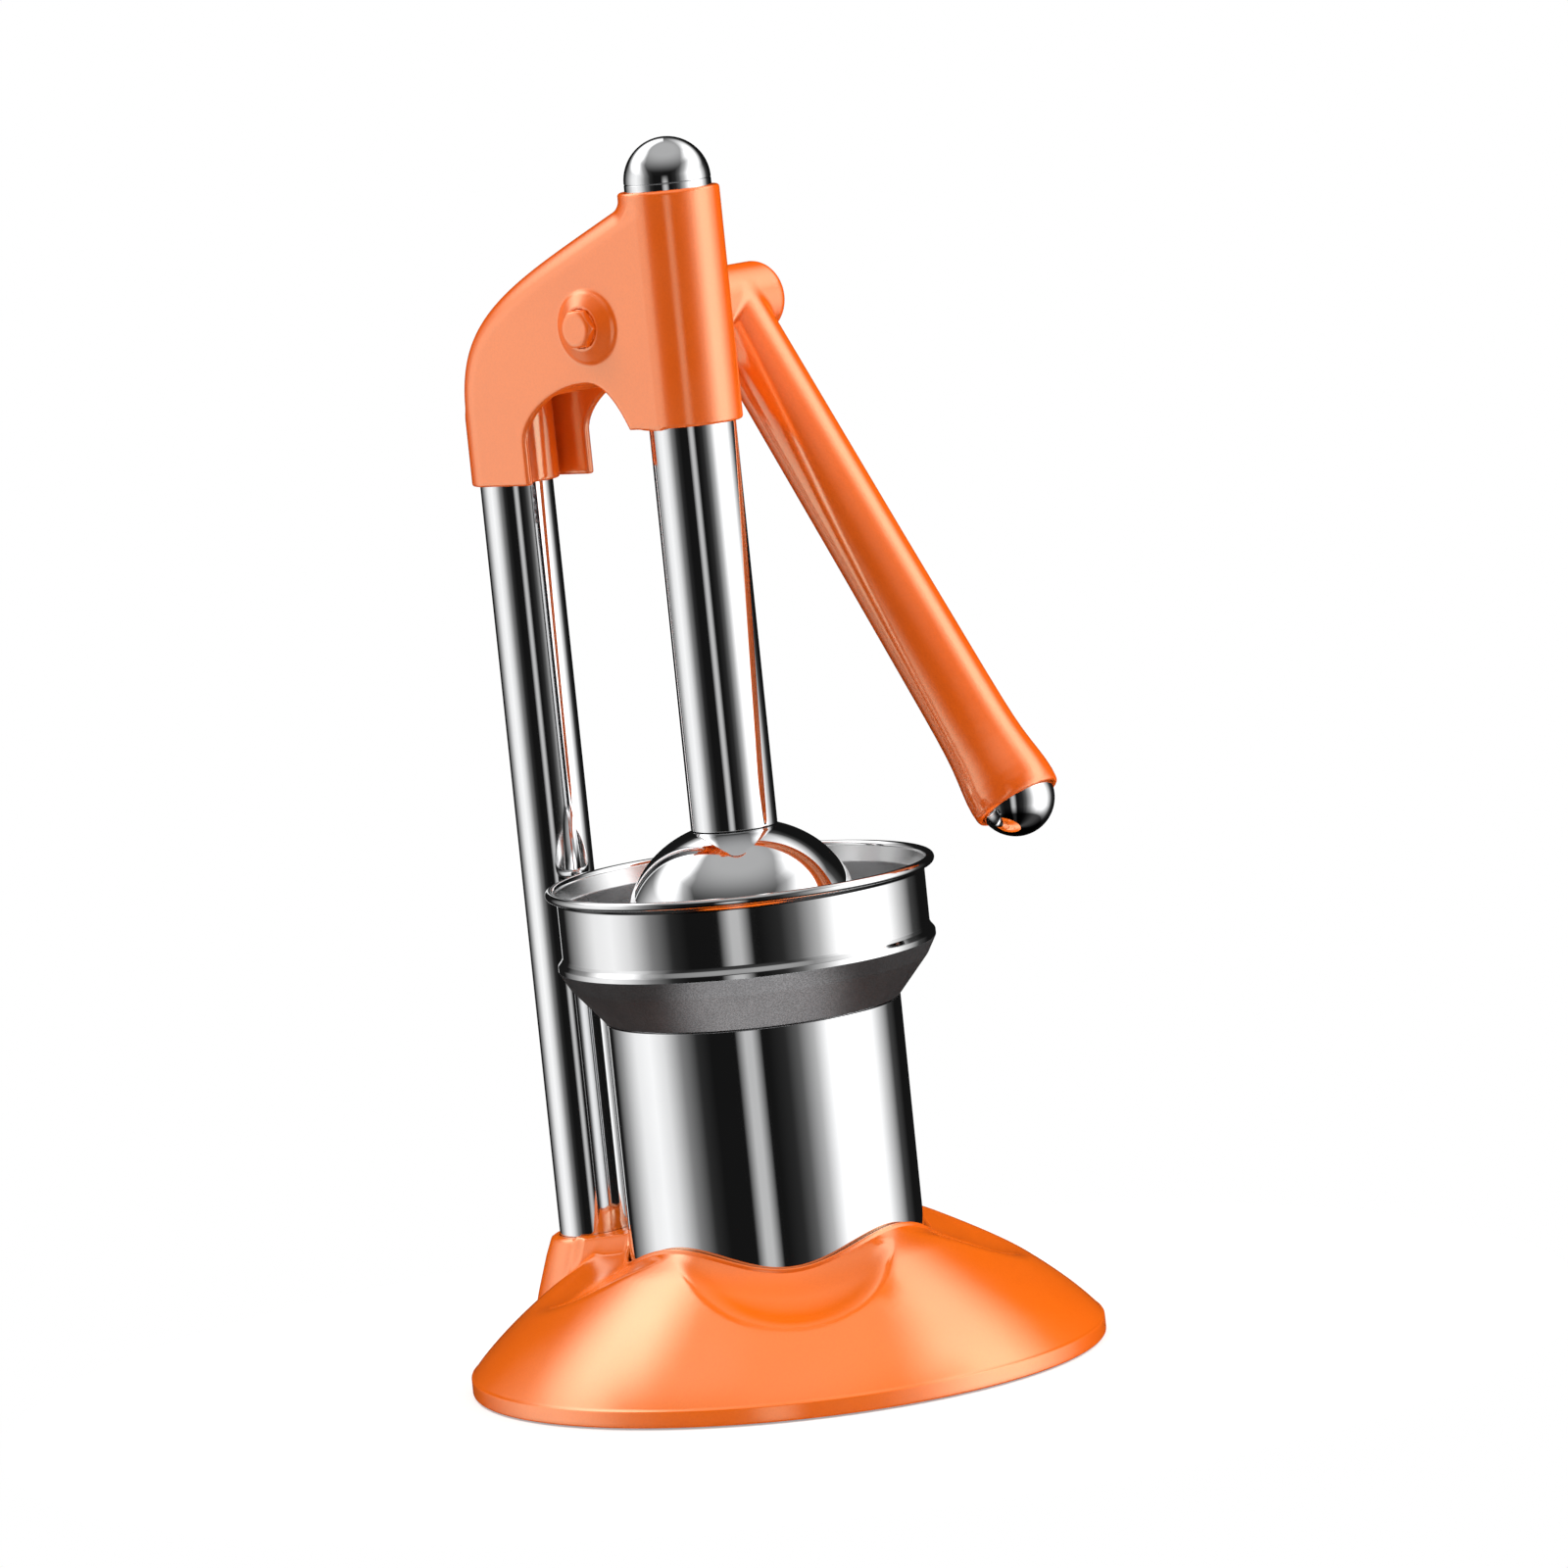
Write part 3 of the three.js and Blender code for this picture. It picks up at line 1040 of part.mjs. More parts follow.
function strainer() {
  const t = STRAINER_THICKNESS;
  const profile = (r, top) => {
    // ribbed cone: steep flank and round nose
    const points = [];
    const steps = 6;
    for (let i = 0; i <= steps; i++) {
      const a = (Math.PI / 2) * (i / steps);
      points.push([r * Math.cos(a) ** 0.8, STRAINER_Z + t + (top - STRAINER_Z - t) * Math.sin(a)]);
    }
    points[steps][0] = 0;
    return points;
  };
  const outside = profile(CONE_RADIUS, STRAINER_TOP_Z + CONE_HEIGHT);
  const inside = profile(CONE_RADIUS - t, STRAINER_TOP_Z + CONE_HEIGHT - t);
  const pairs = [
    [CONE_RADIUS - t, STRAINER_Z],
    [STRAINER_RADIUS, STRAINER_Z],
    [STRAINER_RADIUS, STRAINER_TOP_Z],
    ...outside,
    ...inside.toReversed(),
  ];
  const closed = [...pairs, pairs[0]].map(([r, z]) => at(r, z));
  const geometry = new THREE.LatheGeometry(closed, RIB_FACETS * CONE_RIBS);
  geometry.rotateX(Math.PI / 2);
  const position = geometry.attributes.position;
  const highest = STRAINER_TOP_Z + CONE_HEIGHT;
  for (let i = 0; i < position.count; i++) {
    const x = position.getX(i);
    const y = position.getY(i);
    const z = position.getZ(i);
    const r = Math.hypot(x, y);
    if (r < 0.01 || r > CONE_RADIUS - t / 2 + 1 || z <= STRAINER_Z + t + 0.01) continue;
    const step = Math.floor(i / closed.length);
    const phi = (2 * Math.PI * step) / (RIB_FACETS * CONE_RIBS);
    const fade = Math.min(1, (highest - z) / 8);
    const depth = CONE_RIB_DEPTH * fade * (0.5 - 0.5 * Math.cos(CONE_RIBS * phi));
    const scale = Math.max(0, r - depth) / r;
    position.setXYZ(i, x * scale, y * scale, z);
  }
  let body = solid(geometry);
  const middle = (CONE_RADIUS + STRAINER_RADIUS - STRAINER_LIP) / 2;
  for (let i = 0; i < SLOT_COUNT; i++) {
    const slot = box(
      [middle - SLOT_LENGTH / 2, middle + SLOT_LENGTH / 2],
      [-SLOT_WIDTH / 2, SLOT_WIDTH / 2],
      [STRAINER_Z - OVERCUT, STRAINER_TOP_Z + OVERCUT],
    );
    body = body.subtract(slot.rotate([0, 0, ((i + 0.5) * 360) / SLOT_COUNT]));
  }
  return body;
}

// ---------------------------------------------------------------- lever
// Turns a body made along +Z from the origin into the arm's place.
const ontoArm = (body) =>
  body.rotate([180 - LEVER_LEAN, 0, 0]).translate([LEVER_X, SHAFT_Y, SHAFT_Z]);

function lever() {
  const hub = turnedX(
    [
      [0, HUB_X],
      [HUB_RADIUS, HUB_X],
      [HUB_RADIUS, HUB_END_X - HUB_ROUND],
      [HUB_RADIUS - 0.3 * HUB_ROUND, HUB_END_X - 0.3 * HUB_ROUND],
      [HUB_RADIUS - HUB_ROUND, HUB_END_X],
      [0, HUB_END_X],
    ],
    SHAFT_Y,
    SHAFT_Z,
    SMALL,
  );
  const last = LEVER_RADII[LEVER_RADII.length - 1][1];
  const arm = turned(
    [
      [0, 0],
      [LEVER_HUB_RADIUS, 0],
      ...LEVER_RADII.map(([back, r]) => [r, LEVER_LENGTH - back]),
      [last - LEVER_EDGE, LEVER_LENGTH + LEVER_EDGE],
      [0, LEVER_LENGTH + LEVER_EDGE],
    ],
    ROUND,
  );
  const seat = LEVER_LENGTH - LEVER_CAP_SEAT;
  const pocket = rod(LEVER_CAP_RADIUS + GAP, seat, LEVER_LENGTH + OVERCUT, ROUND).add(
    rod(LEVER_STUD_RADIUS + GAP, seat - LEVER_STUD_LENGTH - GAP, seat + 1, TINY),
  );
  const bore = turnedX(
    rodPairs(SHAFT_RADIUS + GAP, HUB_X - OVERCUT, SHAFT_END_X + GAP),
    SHAFT_Y,
    SHAFT_Z,
    SMALL,
  );
  const screw = turnedY(
    rodPairs(SET_SCREW_RADIUS + GAP, SHAFT_Y, SHAFT_Y + HUB_RADIUS + OVERCUT),
    HUB_X + SET_SCREW_PLACE,
    SHAFT_Z,
    TINY,
  );
  return hub.add(ontoArm(arm)).subtract(ontoArm(pocket)).subtract(bore).subtract(screw);
}

function leverCap() {
  const seat = LEVER_LENGTH - LEVER_CAP_SEAT + GAP;
  const crown = LEVER_LENGTH + LEVER_CAP_PROUD;
  const centre = crown - LEVER_CAP_RADIUS;
  const pairs = [
    [0, seat - LEVER_STUD_LENGTH],
    [LEVER_STUD_RADIUS, seat - LEVER_STUD_LENGTH],
    [LEVER_STUD_RADIUS, seat],
    [LEVER_CAP_RADIUS, seat],
  ];
  for (let i = 0; i < 6; i++) {
    const a = (Math.PI / 2) * (i / 6);
    pairs.push([LEVER_CAP_RADIUS * Math.cos(a), centre + LEVER_CAP_RADIUS * Math.sin(a)]);
  }
  pairs.push([0, crown]);
  return ontoArm(turned(pairs, ROUND));
}

function setScrew() {
  const inner = SHAFT_RADIUS + GAP;
  const length = HUB_RADIUS - inner - GAP;
  const body = turned(rodPairs(SET_SCREW_RADIUS, 0, length, GRUB_EDGE), TINY);
  const socket = hexHead(HEX_SOCKET, length - HEX_SOCKET_DEPTH, length + OVERCUT);
  return body
    .subtract(socket)
    .rotate([-90, 0, 0])
    .translate([HUB_X + SET_SCREW_PLACE, SHAFT_Y + inner, SHAFT_Z]);
}

const thrustWasher = () =>
  turnedX(
    ringPairs(
      SHAFT_RADIUS + GAP,
      THRUST_RADIUS,
      BEARING_FACE_X + GAP,
      BEARING_FACE_X + GAP + THRUST_THICKNESS,
    ),
    SHAFT_Y,
    SHAFT_Z,
    SMALL,
  );

// Six-sided cap over the shaft's near end, on a round spigot.
function shaftCap() {
  const face = BOSS_FACE_X - GAP;
  const end = face - SHAFT_CAP_HEIGHT;
  const spigot = turnedX(
    rodPairs(NEAR_BUSH_RADIUS, face - 1, face + SHAFT_CAP_SPIGOT),
    SHAFT_Y,
    SHAFT_Z,
    SMALL,
  );
  const cap = turnedX(
    [
      [0, end],
      [SHAFT_CAP_RADIUS - SHAFT_CAP_CHAMFER, end],
      [SHAFT_CAP_RADIUS, end + SHAFT_CAP_CHAMFER],
      [SHAFT_CAP_RADIUS, face],
      [0, face],
    ],
    SHAFT_Y,
    SHAFT_Z,
    6,
  );
  return cap.add(spigot);
}

// ---------------------------------------------------------------- assembly
const press = new THREE.Group();
press.name = "citrus_press";

function piece(group, name, look, body, place = [0, 0, 0]) {
  const mesh = new THREE.Mesh(geometryOf(body), materials[look]);
  mesh.name = name;
  mesh.position.set(...place);
  group.add(mesh);
}

const frame = new THREE.Group();
piece(frame, "base_shell", "orange", baseShell());
piece(frame, "base_plate", "plate", basePlate());
FOOT_ANGLES.forEach((angle, i) => {
  piece(frame, `foot_${i + 1}`, "rubber", foot(), [...polar(FOOT_CIRCLE, angle), 0]);
});
PLATE_SCREW_ANGLES.forEach((angle, i) => {
  const place = [...polar(PLATE_SCREW_CIRCLE, angle), 0];
  piece(frame, `plate_screw_${i + 1}`, "steel", panScrew(), place);
});
piece(frame, "column", "chrome", column());
piece(frame, "column_washer", "steel", columnWasher(), [0, COLUMN_Y, 0]);
piece(frame, "column_bolt", "steel", columnBolt(), [0, COLUMN_Y, 0]);
GRUB_HEIGHTS.forEach((height, i) => {
  const place = [0, 0, HEAD_BOTTOM_Z + height];
  piece(frame, `column_grub_screw_${i + 1}`, "steel", grubScrew(), place);
});
piece(frame, "head", "orange", headShell());
piece(frame, "shaft_bearing", "nylon", shaftBearing());
piece(frame, "shaft_bush", "nylon", nearBush());

const leverGroup = new THREE.Group();
piece(leverGroup, "drive_shaft", "steel", driveShaft());
piece(leverGroup, "pinion", "steel", pinion());
piece(leverGroup, "pinion_key", "steel", pinionKey());
piece(leverGroup, "thrust_washer", "steel", thrustWasher());
piece(leverGroup, "lever", "orange", lever());
piece(leverGroup, "lever_cap", "chrome", leverCap());
piece(leverGroup, "lever_set_screw", "steel", setScrew());
piece(leverGroup, "shaft_cap", "orange", shaftCap());

const plunger = new THREE.Group();
piece(plunger, "plunger_tube", "chrome", plungerTube());
piece(plunger, "plunger_cap", "chrome", plungerCap());
piece(plunger, "plunger_plug", "steel", plungerPlug());
piece(plunger, "rack", "steel", rack());
RACK_SCREW_Z.forEach((z, i) => {
  piece(plunger, `rack_screw_${i + 1}`, "steel", rackScrew(), [0, 0, z]);
});
piece(plunger, "press_dome", "chrome", pressDome());
piece(plunger, "press_washer", "steel", pressWasher());
piece(plunger, "press_bolt", "steel", pressBolt());

const vessels = new THREE.Group();
piece(vessels, "juice_cup", "chrome", juiceCup());
piece(vessels, "bowl", "brushed", bowl());
piece(vessels, "strainer", "brushed", strainer());

press.add(frame, leverGroup, plunger, vessels);
export default press;
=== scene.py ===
"""Looks of the hand-lever citrus press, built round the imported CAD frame.

Lengths in the sections on shapes are millimetres in the CAD frame: +Z up along the plunger, the
origin at the feet's level, the column at +Y and the lever at +X. They turn into metres where a
mesh is made.
"""

import json
import math

import bpy
import numpy as np
from mathutils import Matrix, Vector


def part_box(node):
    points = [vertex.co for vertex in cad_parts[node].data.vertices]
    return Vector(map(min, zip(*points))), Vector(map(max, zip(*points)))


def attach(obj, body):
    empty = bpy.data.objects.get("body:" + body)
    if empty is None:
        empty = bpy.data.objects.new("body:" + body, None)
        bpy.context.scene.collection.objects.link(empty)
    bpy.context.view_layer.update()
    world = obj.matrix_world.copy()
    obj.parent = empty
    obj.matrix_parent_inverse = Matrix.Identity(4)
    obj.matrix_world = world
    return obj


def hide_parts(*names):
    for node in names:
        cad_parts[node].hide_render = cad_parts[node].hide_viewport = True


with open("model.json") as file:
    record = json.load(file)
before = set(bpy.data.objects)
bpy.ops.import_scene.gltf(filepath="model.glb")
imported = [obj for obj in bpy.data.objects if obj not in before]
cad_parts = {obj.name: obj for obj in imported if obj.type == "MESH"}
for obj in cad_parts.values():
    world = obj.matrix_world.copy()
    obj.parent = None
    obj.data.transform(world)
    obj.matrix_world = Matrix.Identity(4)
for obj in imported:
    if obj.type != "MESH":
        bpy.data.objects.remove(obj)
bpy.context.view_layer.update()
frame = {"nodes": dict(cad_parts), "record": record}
MM = 0.001


def node_box(name):
    """A CAD node's corners, in millimetres."""
    low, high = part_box(name)
    return np.array(low) / MM, np.array(high) / MM


# ---------------- sizes read from the frame
PLUNGER = node_box("plunger_tube")
DOME = node_box("press_dome")
CUP = node_box("juice_cup")
HEAD = node_box("head")
SHELL = node_box("base_shell")
COLUMN = node_box("column")
SHAFT = node_box("drive_shaft")
THRUST = node_box("thrust_washer")
RACK = node_box("rack")
SHAFT_CAP = node_box("shaft_cap")

GAP = 0.3
SHAFT_Y = (SHAFT[0][1] + SHAFT[1][1]) / 2
SHAFT_Z = (SHAFT[0][2] + SHAFT[1][2]) / 2
PLUNGER_R = PLUNGER[1][0]
COLUMN_R = (COLUMN[1][0] - COLUMN[0][0]) / 2
COLUMN_Y = (COLUMN[1][1] + COLUMN[0][1]) / 2
GRUB_R = 2.6
SHARP, SHARP_CAST = 38.0, 60.0  # edges that turn by more degrees are drawn sharp


# ---------------- meshes
def put(name, data):
    """A new object in the scene."""
    obj = bpy.data.objects.new(name, data)
    bpy.context.scene.collection.objects.link(obj)
    return obj


def build(name, verts, faces, body, looks, stands_for=(), sharp=SHARP, marks=None):
    """Makes a piece from points in millimetres, rides it on a body and gives it its looks."""
    mesh = bpy.data.meshes.new(name)
    mesh.from_pydata((np.asarray(verts, float) * MM).tolist(), [], [list(f) for f in faces])
    mesh.validate()
    mesh.polygons.foreach_set("use_smooth", [True] * len(mesh.polygons))
    if marks is not None:
        mesh.polygons.foreach_set("material_index", marks)
    mesh.set_sharp_from_angle(angle=math.radians(sharp))
    obj = put(name, mesh)
    for look in looks if isinstance(looks, (list, tuple)) else [looks]:
        mesh.materials.append(look)
    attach(obj, body)
    if stands_for:
        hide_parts(*stands_for)
    return obj


def facing_out(verts, faces):
    """Turns every face round if the closed mesh is inside out."""
    v = np.asarray(verts, float)
    total = 0.0
    for f in faces:
        a = v[f[0]]
        for i in range(1, len(f) - 1):
            total += np.dot(a, np.cross(v[f[i]], v[f[i + 1]]))
    return faces if total > 0 else [tuple(reversed(f)) for f in faces]


def revolve(profile, segments=160):
    """A closed body of revolution round Z from (radius, height) points in order."""
    rows, verts, faces = [], [], []
    angles = np.linspace(0, 2 * math.pi, segments, endpoint=False)
    for r, z in profile:
        if r < 1e-9:
            rows.append([len(verts)])
            verts.append((0.0, 0.0, z))
        else:
            rows.append(list(range(len(verts), len(verts) + segments)))
            verts.extend(zip(r * np.cos(angles), r * np.sin(angles), [z] * segments))
    pairs = list(zip(rows, rows[1:]))
    if len(rows[0]) > 1:
        pairs.append((rows[-1], rows[0]))
    for a, b in pairs:
        if len(a) == 1 and len(b) == 1:
            continue
        for i in range(segments):
            j = (i + 1) % segments
            if len(a) == 1:
                faces.append((a[0], b[j], b[i]))
            elif len(b) == 1:
                faces.append((a[i], a[j], b[0]))
            else:
                faces.append((a[i], a[j], b[j], b[i]))
    return np.array(verts), facing_out(verts, faces)


def rounded(path, steps=5, closed=True, support=0.35):
    """A profile with rounded corners; a point is (radius, height), or has its rounding third."""
    pts = [np.array(p[:2], float) for p in path]
    fil = [p[2] if len(p) > 2 else 0.0 for p in path]
    out = []
    n = len(pts)
    for i in range(n):
        c, f = pts[i], fil[i]
        if not closed and i in (0, n - 1):
            out.append((c, c))
            continue
        p, q = pts[i - 1], pts[(i + 1) % n]
        u, v = p - c, q - c
        lu, lv = np.linalg.norm(u), np.linalg.norm(v)
        u, v = u / lu, v / lv
        cosine = float(np.clip(u @ v, -1, 1))
        half = math.acos(cosine) / 2
        if f <= 0 or half > math.pi / 2 - 0.02:
            out.append((c, c))
            continue
        t = min(f / math.tan(half), 0.48 * lu, 0.48 * lv)
        f = t * math.tan(half)
        middle = (u + v) / np.linalg.norm(u + v)
        centre = c + middle * f / math.sin(half)
        a, b = c + u * t - centre, c + v * t - centre
        turn = math.pi - 2 * half
        arc = []
        for k in range(steps + 1):
            s = k / steps
            w = (math.sin((1 - s) * turn) * a + math.sin(s * turn) * b) / math.sin(turn)
            arc.append(centre + w)
        out.append(tuple(arc))
    line = []
    for i, arc in enumerate(out):
        line.extend(arc if arc[0] is not arc[-1] else [arc[0]])
        last = i == n - 1
        if last and not closed:
            break
        a, b = arc[-1], out[(i + 1) % n][0]
        length = np.linalg.norm(b - a)
        if length > 4 * support:
            line.append(a + (b - a) * support / length)
            line.append(b - (b - a) * support / length)
    return [(max(0.0, float(p[0])), float(p[1])) for p in line]


def along_y(verts, x, z):
    """Lays a body made round Z round an axis along Y through x, z."""
    return np.stack([verts[:, 1] + x, verts[:, 2], verts[:, 0] + z], 1)


def moved(verts, x=0.0, y=0.0, z=0.0):
    return verts + np.array([x, y, z])


def cut(obj, verts, faces):
    """Takes a closed body out of a piece."""
    mesh = bpy.data.meshes.new("cutter")
    mesh.from_pydata((np.asarray(verts) * MM).tolist(), [], [list(f) for f in faces])
    tool = put("cutter", mesh)
    boolean = obj.modifiers.new("cut", "BOOLEAN")
    boolean.object = tool
    boolean.operation = "DIFFERENCE"
    boolean.solver = "MANIFOLD"
    bpy.context.view_layer.update()
    graph = bpy.context.evaluated_depsgraph_get()
    made = bpy.data.meshes.new_from_object(obj.evaluated_get(graph))
    obj.modifiers.clear()
    old = obj.data
    obj.data = made
    made.name = old.name
    bpy.data.meshes.remove(old)
    bpy.data.objects.remove(tool)
    bpy.data.meshes.remove(mesh)
    made.polygons.foreach_set("use_smooth", [True] * len(made.polygons))
    made.set_sharp_from_angle(angle=math.radians(SHARP))
    return obj


def rod(r, low, high, segments=96):
    return revolve([(0, low), (r, low), (r, high), (0, high)], segments)


def block(x0, x1, y0, y1, z0, z1):
    v = np.array([(x, y, z) for x in (x0, x1) for y in (y0, y1) for z in (z0, z1)], float)
    f = [(0, 1, 3, 2), (4, 6, 7, 5), (0, 4, 5, 1), (2, 3, 7, 6), (0, 2, 6, 4), (1, 5, 7, 3)]
    return v, facing_out(v, f)


# ---------------- distance fields and contours
def bezier(p0, p1, p2, p3, count):
    t = np.linspace(0, 1, count)[:, None]
    p0, p1, p2, p3 = (np.array(p, float) for p in (p0, p1, p2, p3))
    return (1 - t) ** 3 * p0 + 3 * (1 - t) ** 2 * t * p1 + 3 * (1 - t) * t**2 * p2 + t**3 * p3


def outline_distance(points, q):
    """Signed distance to a closed outline, negative inside."""
    best = np.full(len(q), 1e18)
    inside = np.zeros(len(q), bool)
    pts = np.asarray(points, float)
    for a, b in zip(pts, np.roll(pts, -1, 0)):
        e = b - a
        if e @ e < 1e-12:
            continue
        w = q - a
        t = np.clip((w @ e) / (e @ e), 0, 1)
        away = w - t[:, None] * e
        best = np.minimum(best, (away * away).sum(1))
        if a[1] != b[1]:
            level = (a[1] > q[:, 1]) != (b[1] > q[:, 1])
            inside ^= level & (q[:, 0] < e[0] * (q[:, 1] - a[1]) / e[1] + a[0])
    return np.where(inside, -1, 1) * np.sqrt(best)


class Outline:
    """A closed outline's distance, kept on a fine lattice and read between its points."""

    def __init__(self, points, low, high, step=0.25):
        self.low, self.step = np.array(low, float), step
        self.shape = tuple(int(math.ceil((h - l) / step)) + 2 for l, h in zip(low, high))
        a, b = (self.low[k] + step * np.arange(self.shape[k]) for k in (0, 1))
        grid = np.stack(np.meshgrid(a, b, indexing="ij"), -1).reshape(-1, 2)
        self.values = outline_distance(points, grid).reshape(self.shape)

    def __call__(self, u, v):
        a = np.clip((u - self.low[0]) / self.step, 0, self.shape[0] - 1.001)
        b = np.clip((v - self.low[1]) / self.step, 0, self.shape[1] - 1.001)
        i, j = a.astype(int), b.astype(int)
        s, t = a - i, b - j
        v0 = self.values[i, j] * (1 - t) + self.values[i, j + 1] * t
        v1 = self.values[i + 1, j] * (1 - t) + self.values[i + 1, j + 1] * t
        return v0 * (1 - s) + v1 * s


def join(a, b, k=0.0):
    """Union of two fields, with a fillet of about k."""
    if k <= 0:
        return np.minimum(a, b)
    h = np.maximum(k - np.abs(a - b), 0) / k
    return np.minimum(a, b) - h * h * k / 4


def corner_fill(a, b, r):
    """Union of two fields with a round fillet of radius r."""
    u, v = np.maximum(r - a, 0), np.maximum(r - b, 0)
    return np.maximum(r, np.minimum(a, b)) - np.hypot(u, v)


def minus(a, b, k=0.0):
    """Field a without field b, with an edge rounding of about k."""
    return -join(-a, b, k)


def meet(a, b, k=0.0):
    return -join(-a, -b, k)


def slab(value, low, high):
    return np.maximum(low - value, value - high)


def rounded_meet(fields, r):
    """Intersection of fields, with its edges rounded by r."""
    q = np.stack(fields) + r
    return np.linalg.norm(np.maximum(q, 0), axis=0) + np.minimum(q.max(0), 0) - r


def box_field(x, y, z, r=0.0):
    """Field of a box from the three slab fields, its edges rounded by r."""
    return rounded_meet([x, y, z], r)


def rod_field(radial, along, r=0.0):
    return rounded_meet([radial, along], r)


def sampled(field, axes, chunk=8):
    """The field on a lattice; blocks of it far from the surface only get their centre's value."""
    n = [len(a) for a in axes]
    spans = [[(i, min(i + chunk, k)) for i in range(0, k, chunk)] for k in n]
    cell = axes[0][1] - axes[0][0]
    blocks = [(i, j, k) for i in spans[0] for j in spans[1] for k in spans[2]]
    middle = np.array([[(axes[d][b[d][0]] + axes[d][b[d][1] - 1]) / 2 for d in range(3)]
                       for b in blocks])
    far = field(middle)
    values = np.empty(n)
    near = []
    for b, value in zip(blocks, far):
        place = tuple(slice(*b[d]) for d in range(3))
        if abs(value) > chunk * cell:
            values[place] = value
        else:
            near.append(place)
    batch = 400
    for start in range(0, len(near), batch):
        group = near[start:start + batch]
        points = [np.stack(np.meshgrid(*(axes[d][place[d]] for d in range(3)), indexing="ij"),
                           -1).reshape(-1, 3) for place in group]
        result = field(np.concatenate(points))
        at = 0
        for place, p in zip(group, points):
            shape = [s.stop - s.start for s in place]
            values[place] = result[at:at + len(p)].reshape(shape)
            at += len(p)
    return values


def contour(field, low, high, cell, passes=2):
    """The zero surface of a field as quads: one point in each cell that it crosses."""
    low = np.array(low, float)
    n = [int(math.ceil((h - l) / cell)) + 1 for l, h in zip(low, high)]
    axes = [low[k] + cell * np.arange(n[k]) for k in range(3)]
    values = sampled(field, axes)
    cells = [k - 1 for k in n]
    total = np.zeros((cells[0] * cells[1] * cells[2], 3))
    count = np.zeros(len(total))
    quads = []
    stride = np.array([cells[1] * cells[2], cells[2], 1])
    for axis in range(3):
        lo = [slice(None)] * 3
        hi = [slice(None)] * 3
        lo[axis], hi[axis] = slice(0, -1), slice(1, None)
        v0, v1 = values[tuple(lo)], values[tuple(hi)]
        crossed = np.argwhere((v0 < 0) != (v1 < 0))
        a, b = v0[tuple(crossed.T)], v1[tuple(crossed.T)]
        place = low + crossed * cell
        place[:, axis] += cell * a / (a - b)
        p, q = (axis + 1) % 3, (axis + 2) % 3
        corner = []
        for dp, dq in ((0, 0), (1, 0), (1, 1), (0, 1)):
            at = crossed.copy()
            at[:, p] -= dp
            at[:, q] -= dq
            good = (at >= 0).all(1) & (at < cells).all(1)
            index = at @ stride
            np.add.at(total, index[good], place[good])
            np.add.at(count, index[good], 1)
            corner.append(np.where(good, index, -1))
        quad = np.stack(corner, 1)
        ok = (quad >= 0).all(1)
        quad = quad[ok]
        turn = a[ok] < 0
        quads.append(np.where(turn[:, None], quad, quad[:, ::-1]))
    used = np.flatnonzero(count)
    number = np.full(len(total), -1)
    number[used] = np.arange(len(used))
    verts = total[used] / count[used, None]
    faces = number[np.concatenate(quads)]
    eps = 0.02
    for _ in range(passes):
        here = field(verts)
        slope = np.stack(
            [(field(verts + eps * e) - field(verts - eps * e)) / (2 * eps) for e in np.eye(3)], 1
        )
        size = np.maximum((slope**2).sum(1), 0.25)
        step = -slope * (here / size)[:, None]
        length = np.linalg.norm(step, axis=1)
        step *= np.minimum(1, 0.5 * cell / np.maximum(length, 1e-9))[:, None]
        verts = verts + step
    return verts, [tuple(f) for f in faces.tolist()]


# ---------------- materials
def new_material(name):
    m = bpy.data.materials.new(name)
    m.use_nodes = True
    tree = m.node_tree
    shader = tree.nodes["Principled BSDF"]
    return m, tree, shader


def node(tree, kind, **values):
    n = tree.nodes.new(kind)
    for key, value in values.items():
        if hasattr(n, key):
            setattr(n, key, value)
        else:
            n.inputs[key.replace("_", " ")].default_value = value
    return n


def noise(tree, scale, detail=3.0, rough=0.5, stretch=None):
    """A noise pattern in the object's own coordinates; scale is waves to the metre."""
    place = node(tree, "ShaderNodeTexCoord")
    source = place.outputs["Object"]
    if stretch:
        mapping = node(tree, "ShaderNodeMapping")
        mapping.inputs["Scale"].default_value = stretch
        tree.links.new(source, mapping.inputs["Vector"])
        source = mapping.outputs["Vector"]
    n = node(tree, "ShaderNodeTexNoise", Scale=scale, Detail=detail, Roughness=rough)
    tree.links.new(source, n.inputs["Vector"])
    return n.outputs["Fac"]


def spread(tree, value, low, high, from_low=0.3, from_high=0.7, kind="LINEAR"):
    """A pattern's values laid between low and high."""
    n = node(tree, "ShaderNodeMapRange", interpolation_type=kind)
    for key, number in zip(("From Min", "From Max", "To Min", "To Max"),
                           (from_low, from_high, low, high)):
        n.inputs[key].default_value = number
    tree.links.new(value, n.inputs["Value"])
    return n.outputs["Result"]


def math_node(tree, operation, a, b=None):
    """Arithmetic on numbers or sockets."""
    n = node(tree, "ShaderNodeMath", operation=operation)
    for socket, value in zip(n.inputs, (a, b)):
        if value is None:
            continue
        if isinstance(value, (int, float)):
            socket.default_value = value
        else:
            tree.links.new(value, socket)
    return n.outputs[0]


def mixed(tree, fac, a, b):
    """Colour a to b by a pattern; a and b are colours or sockets."""
    n = node(tree, "ShaderNodeMix", data_type="RGBA", blend_type="MIX")
    tree.links.new(fac, n.inputs["Factor"])
    for key, value in (("A", a), ("B", b)):
        socket = [s for s in n.inputs if s.name == key and s.type == "RGBA"][0]
        if isinstance(value, (tuple, list)):
            socket.default_value = (*value, 1.0)
        else:
            tree.links.new(value, socket)
    return [s for s in n.outputs if s.type == "RGBA"][0]


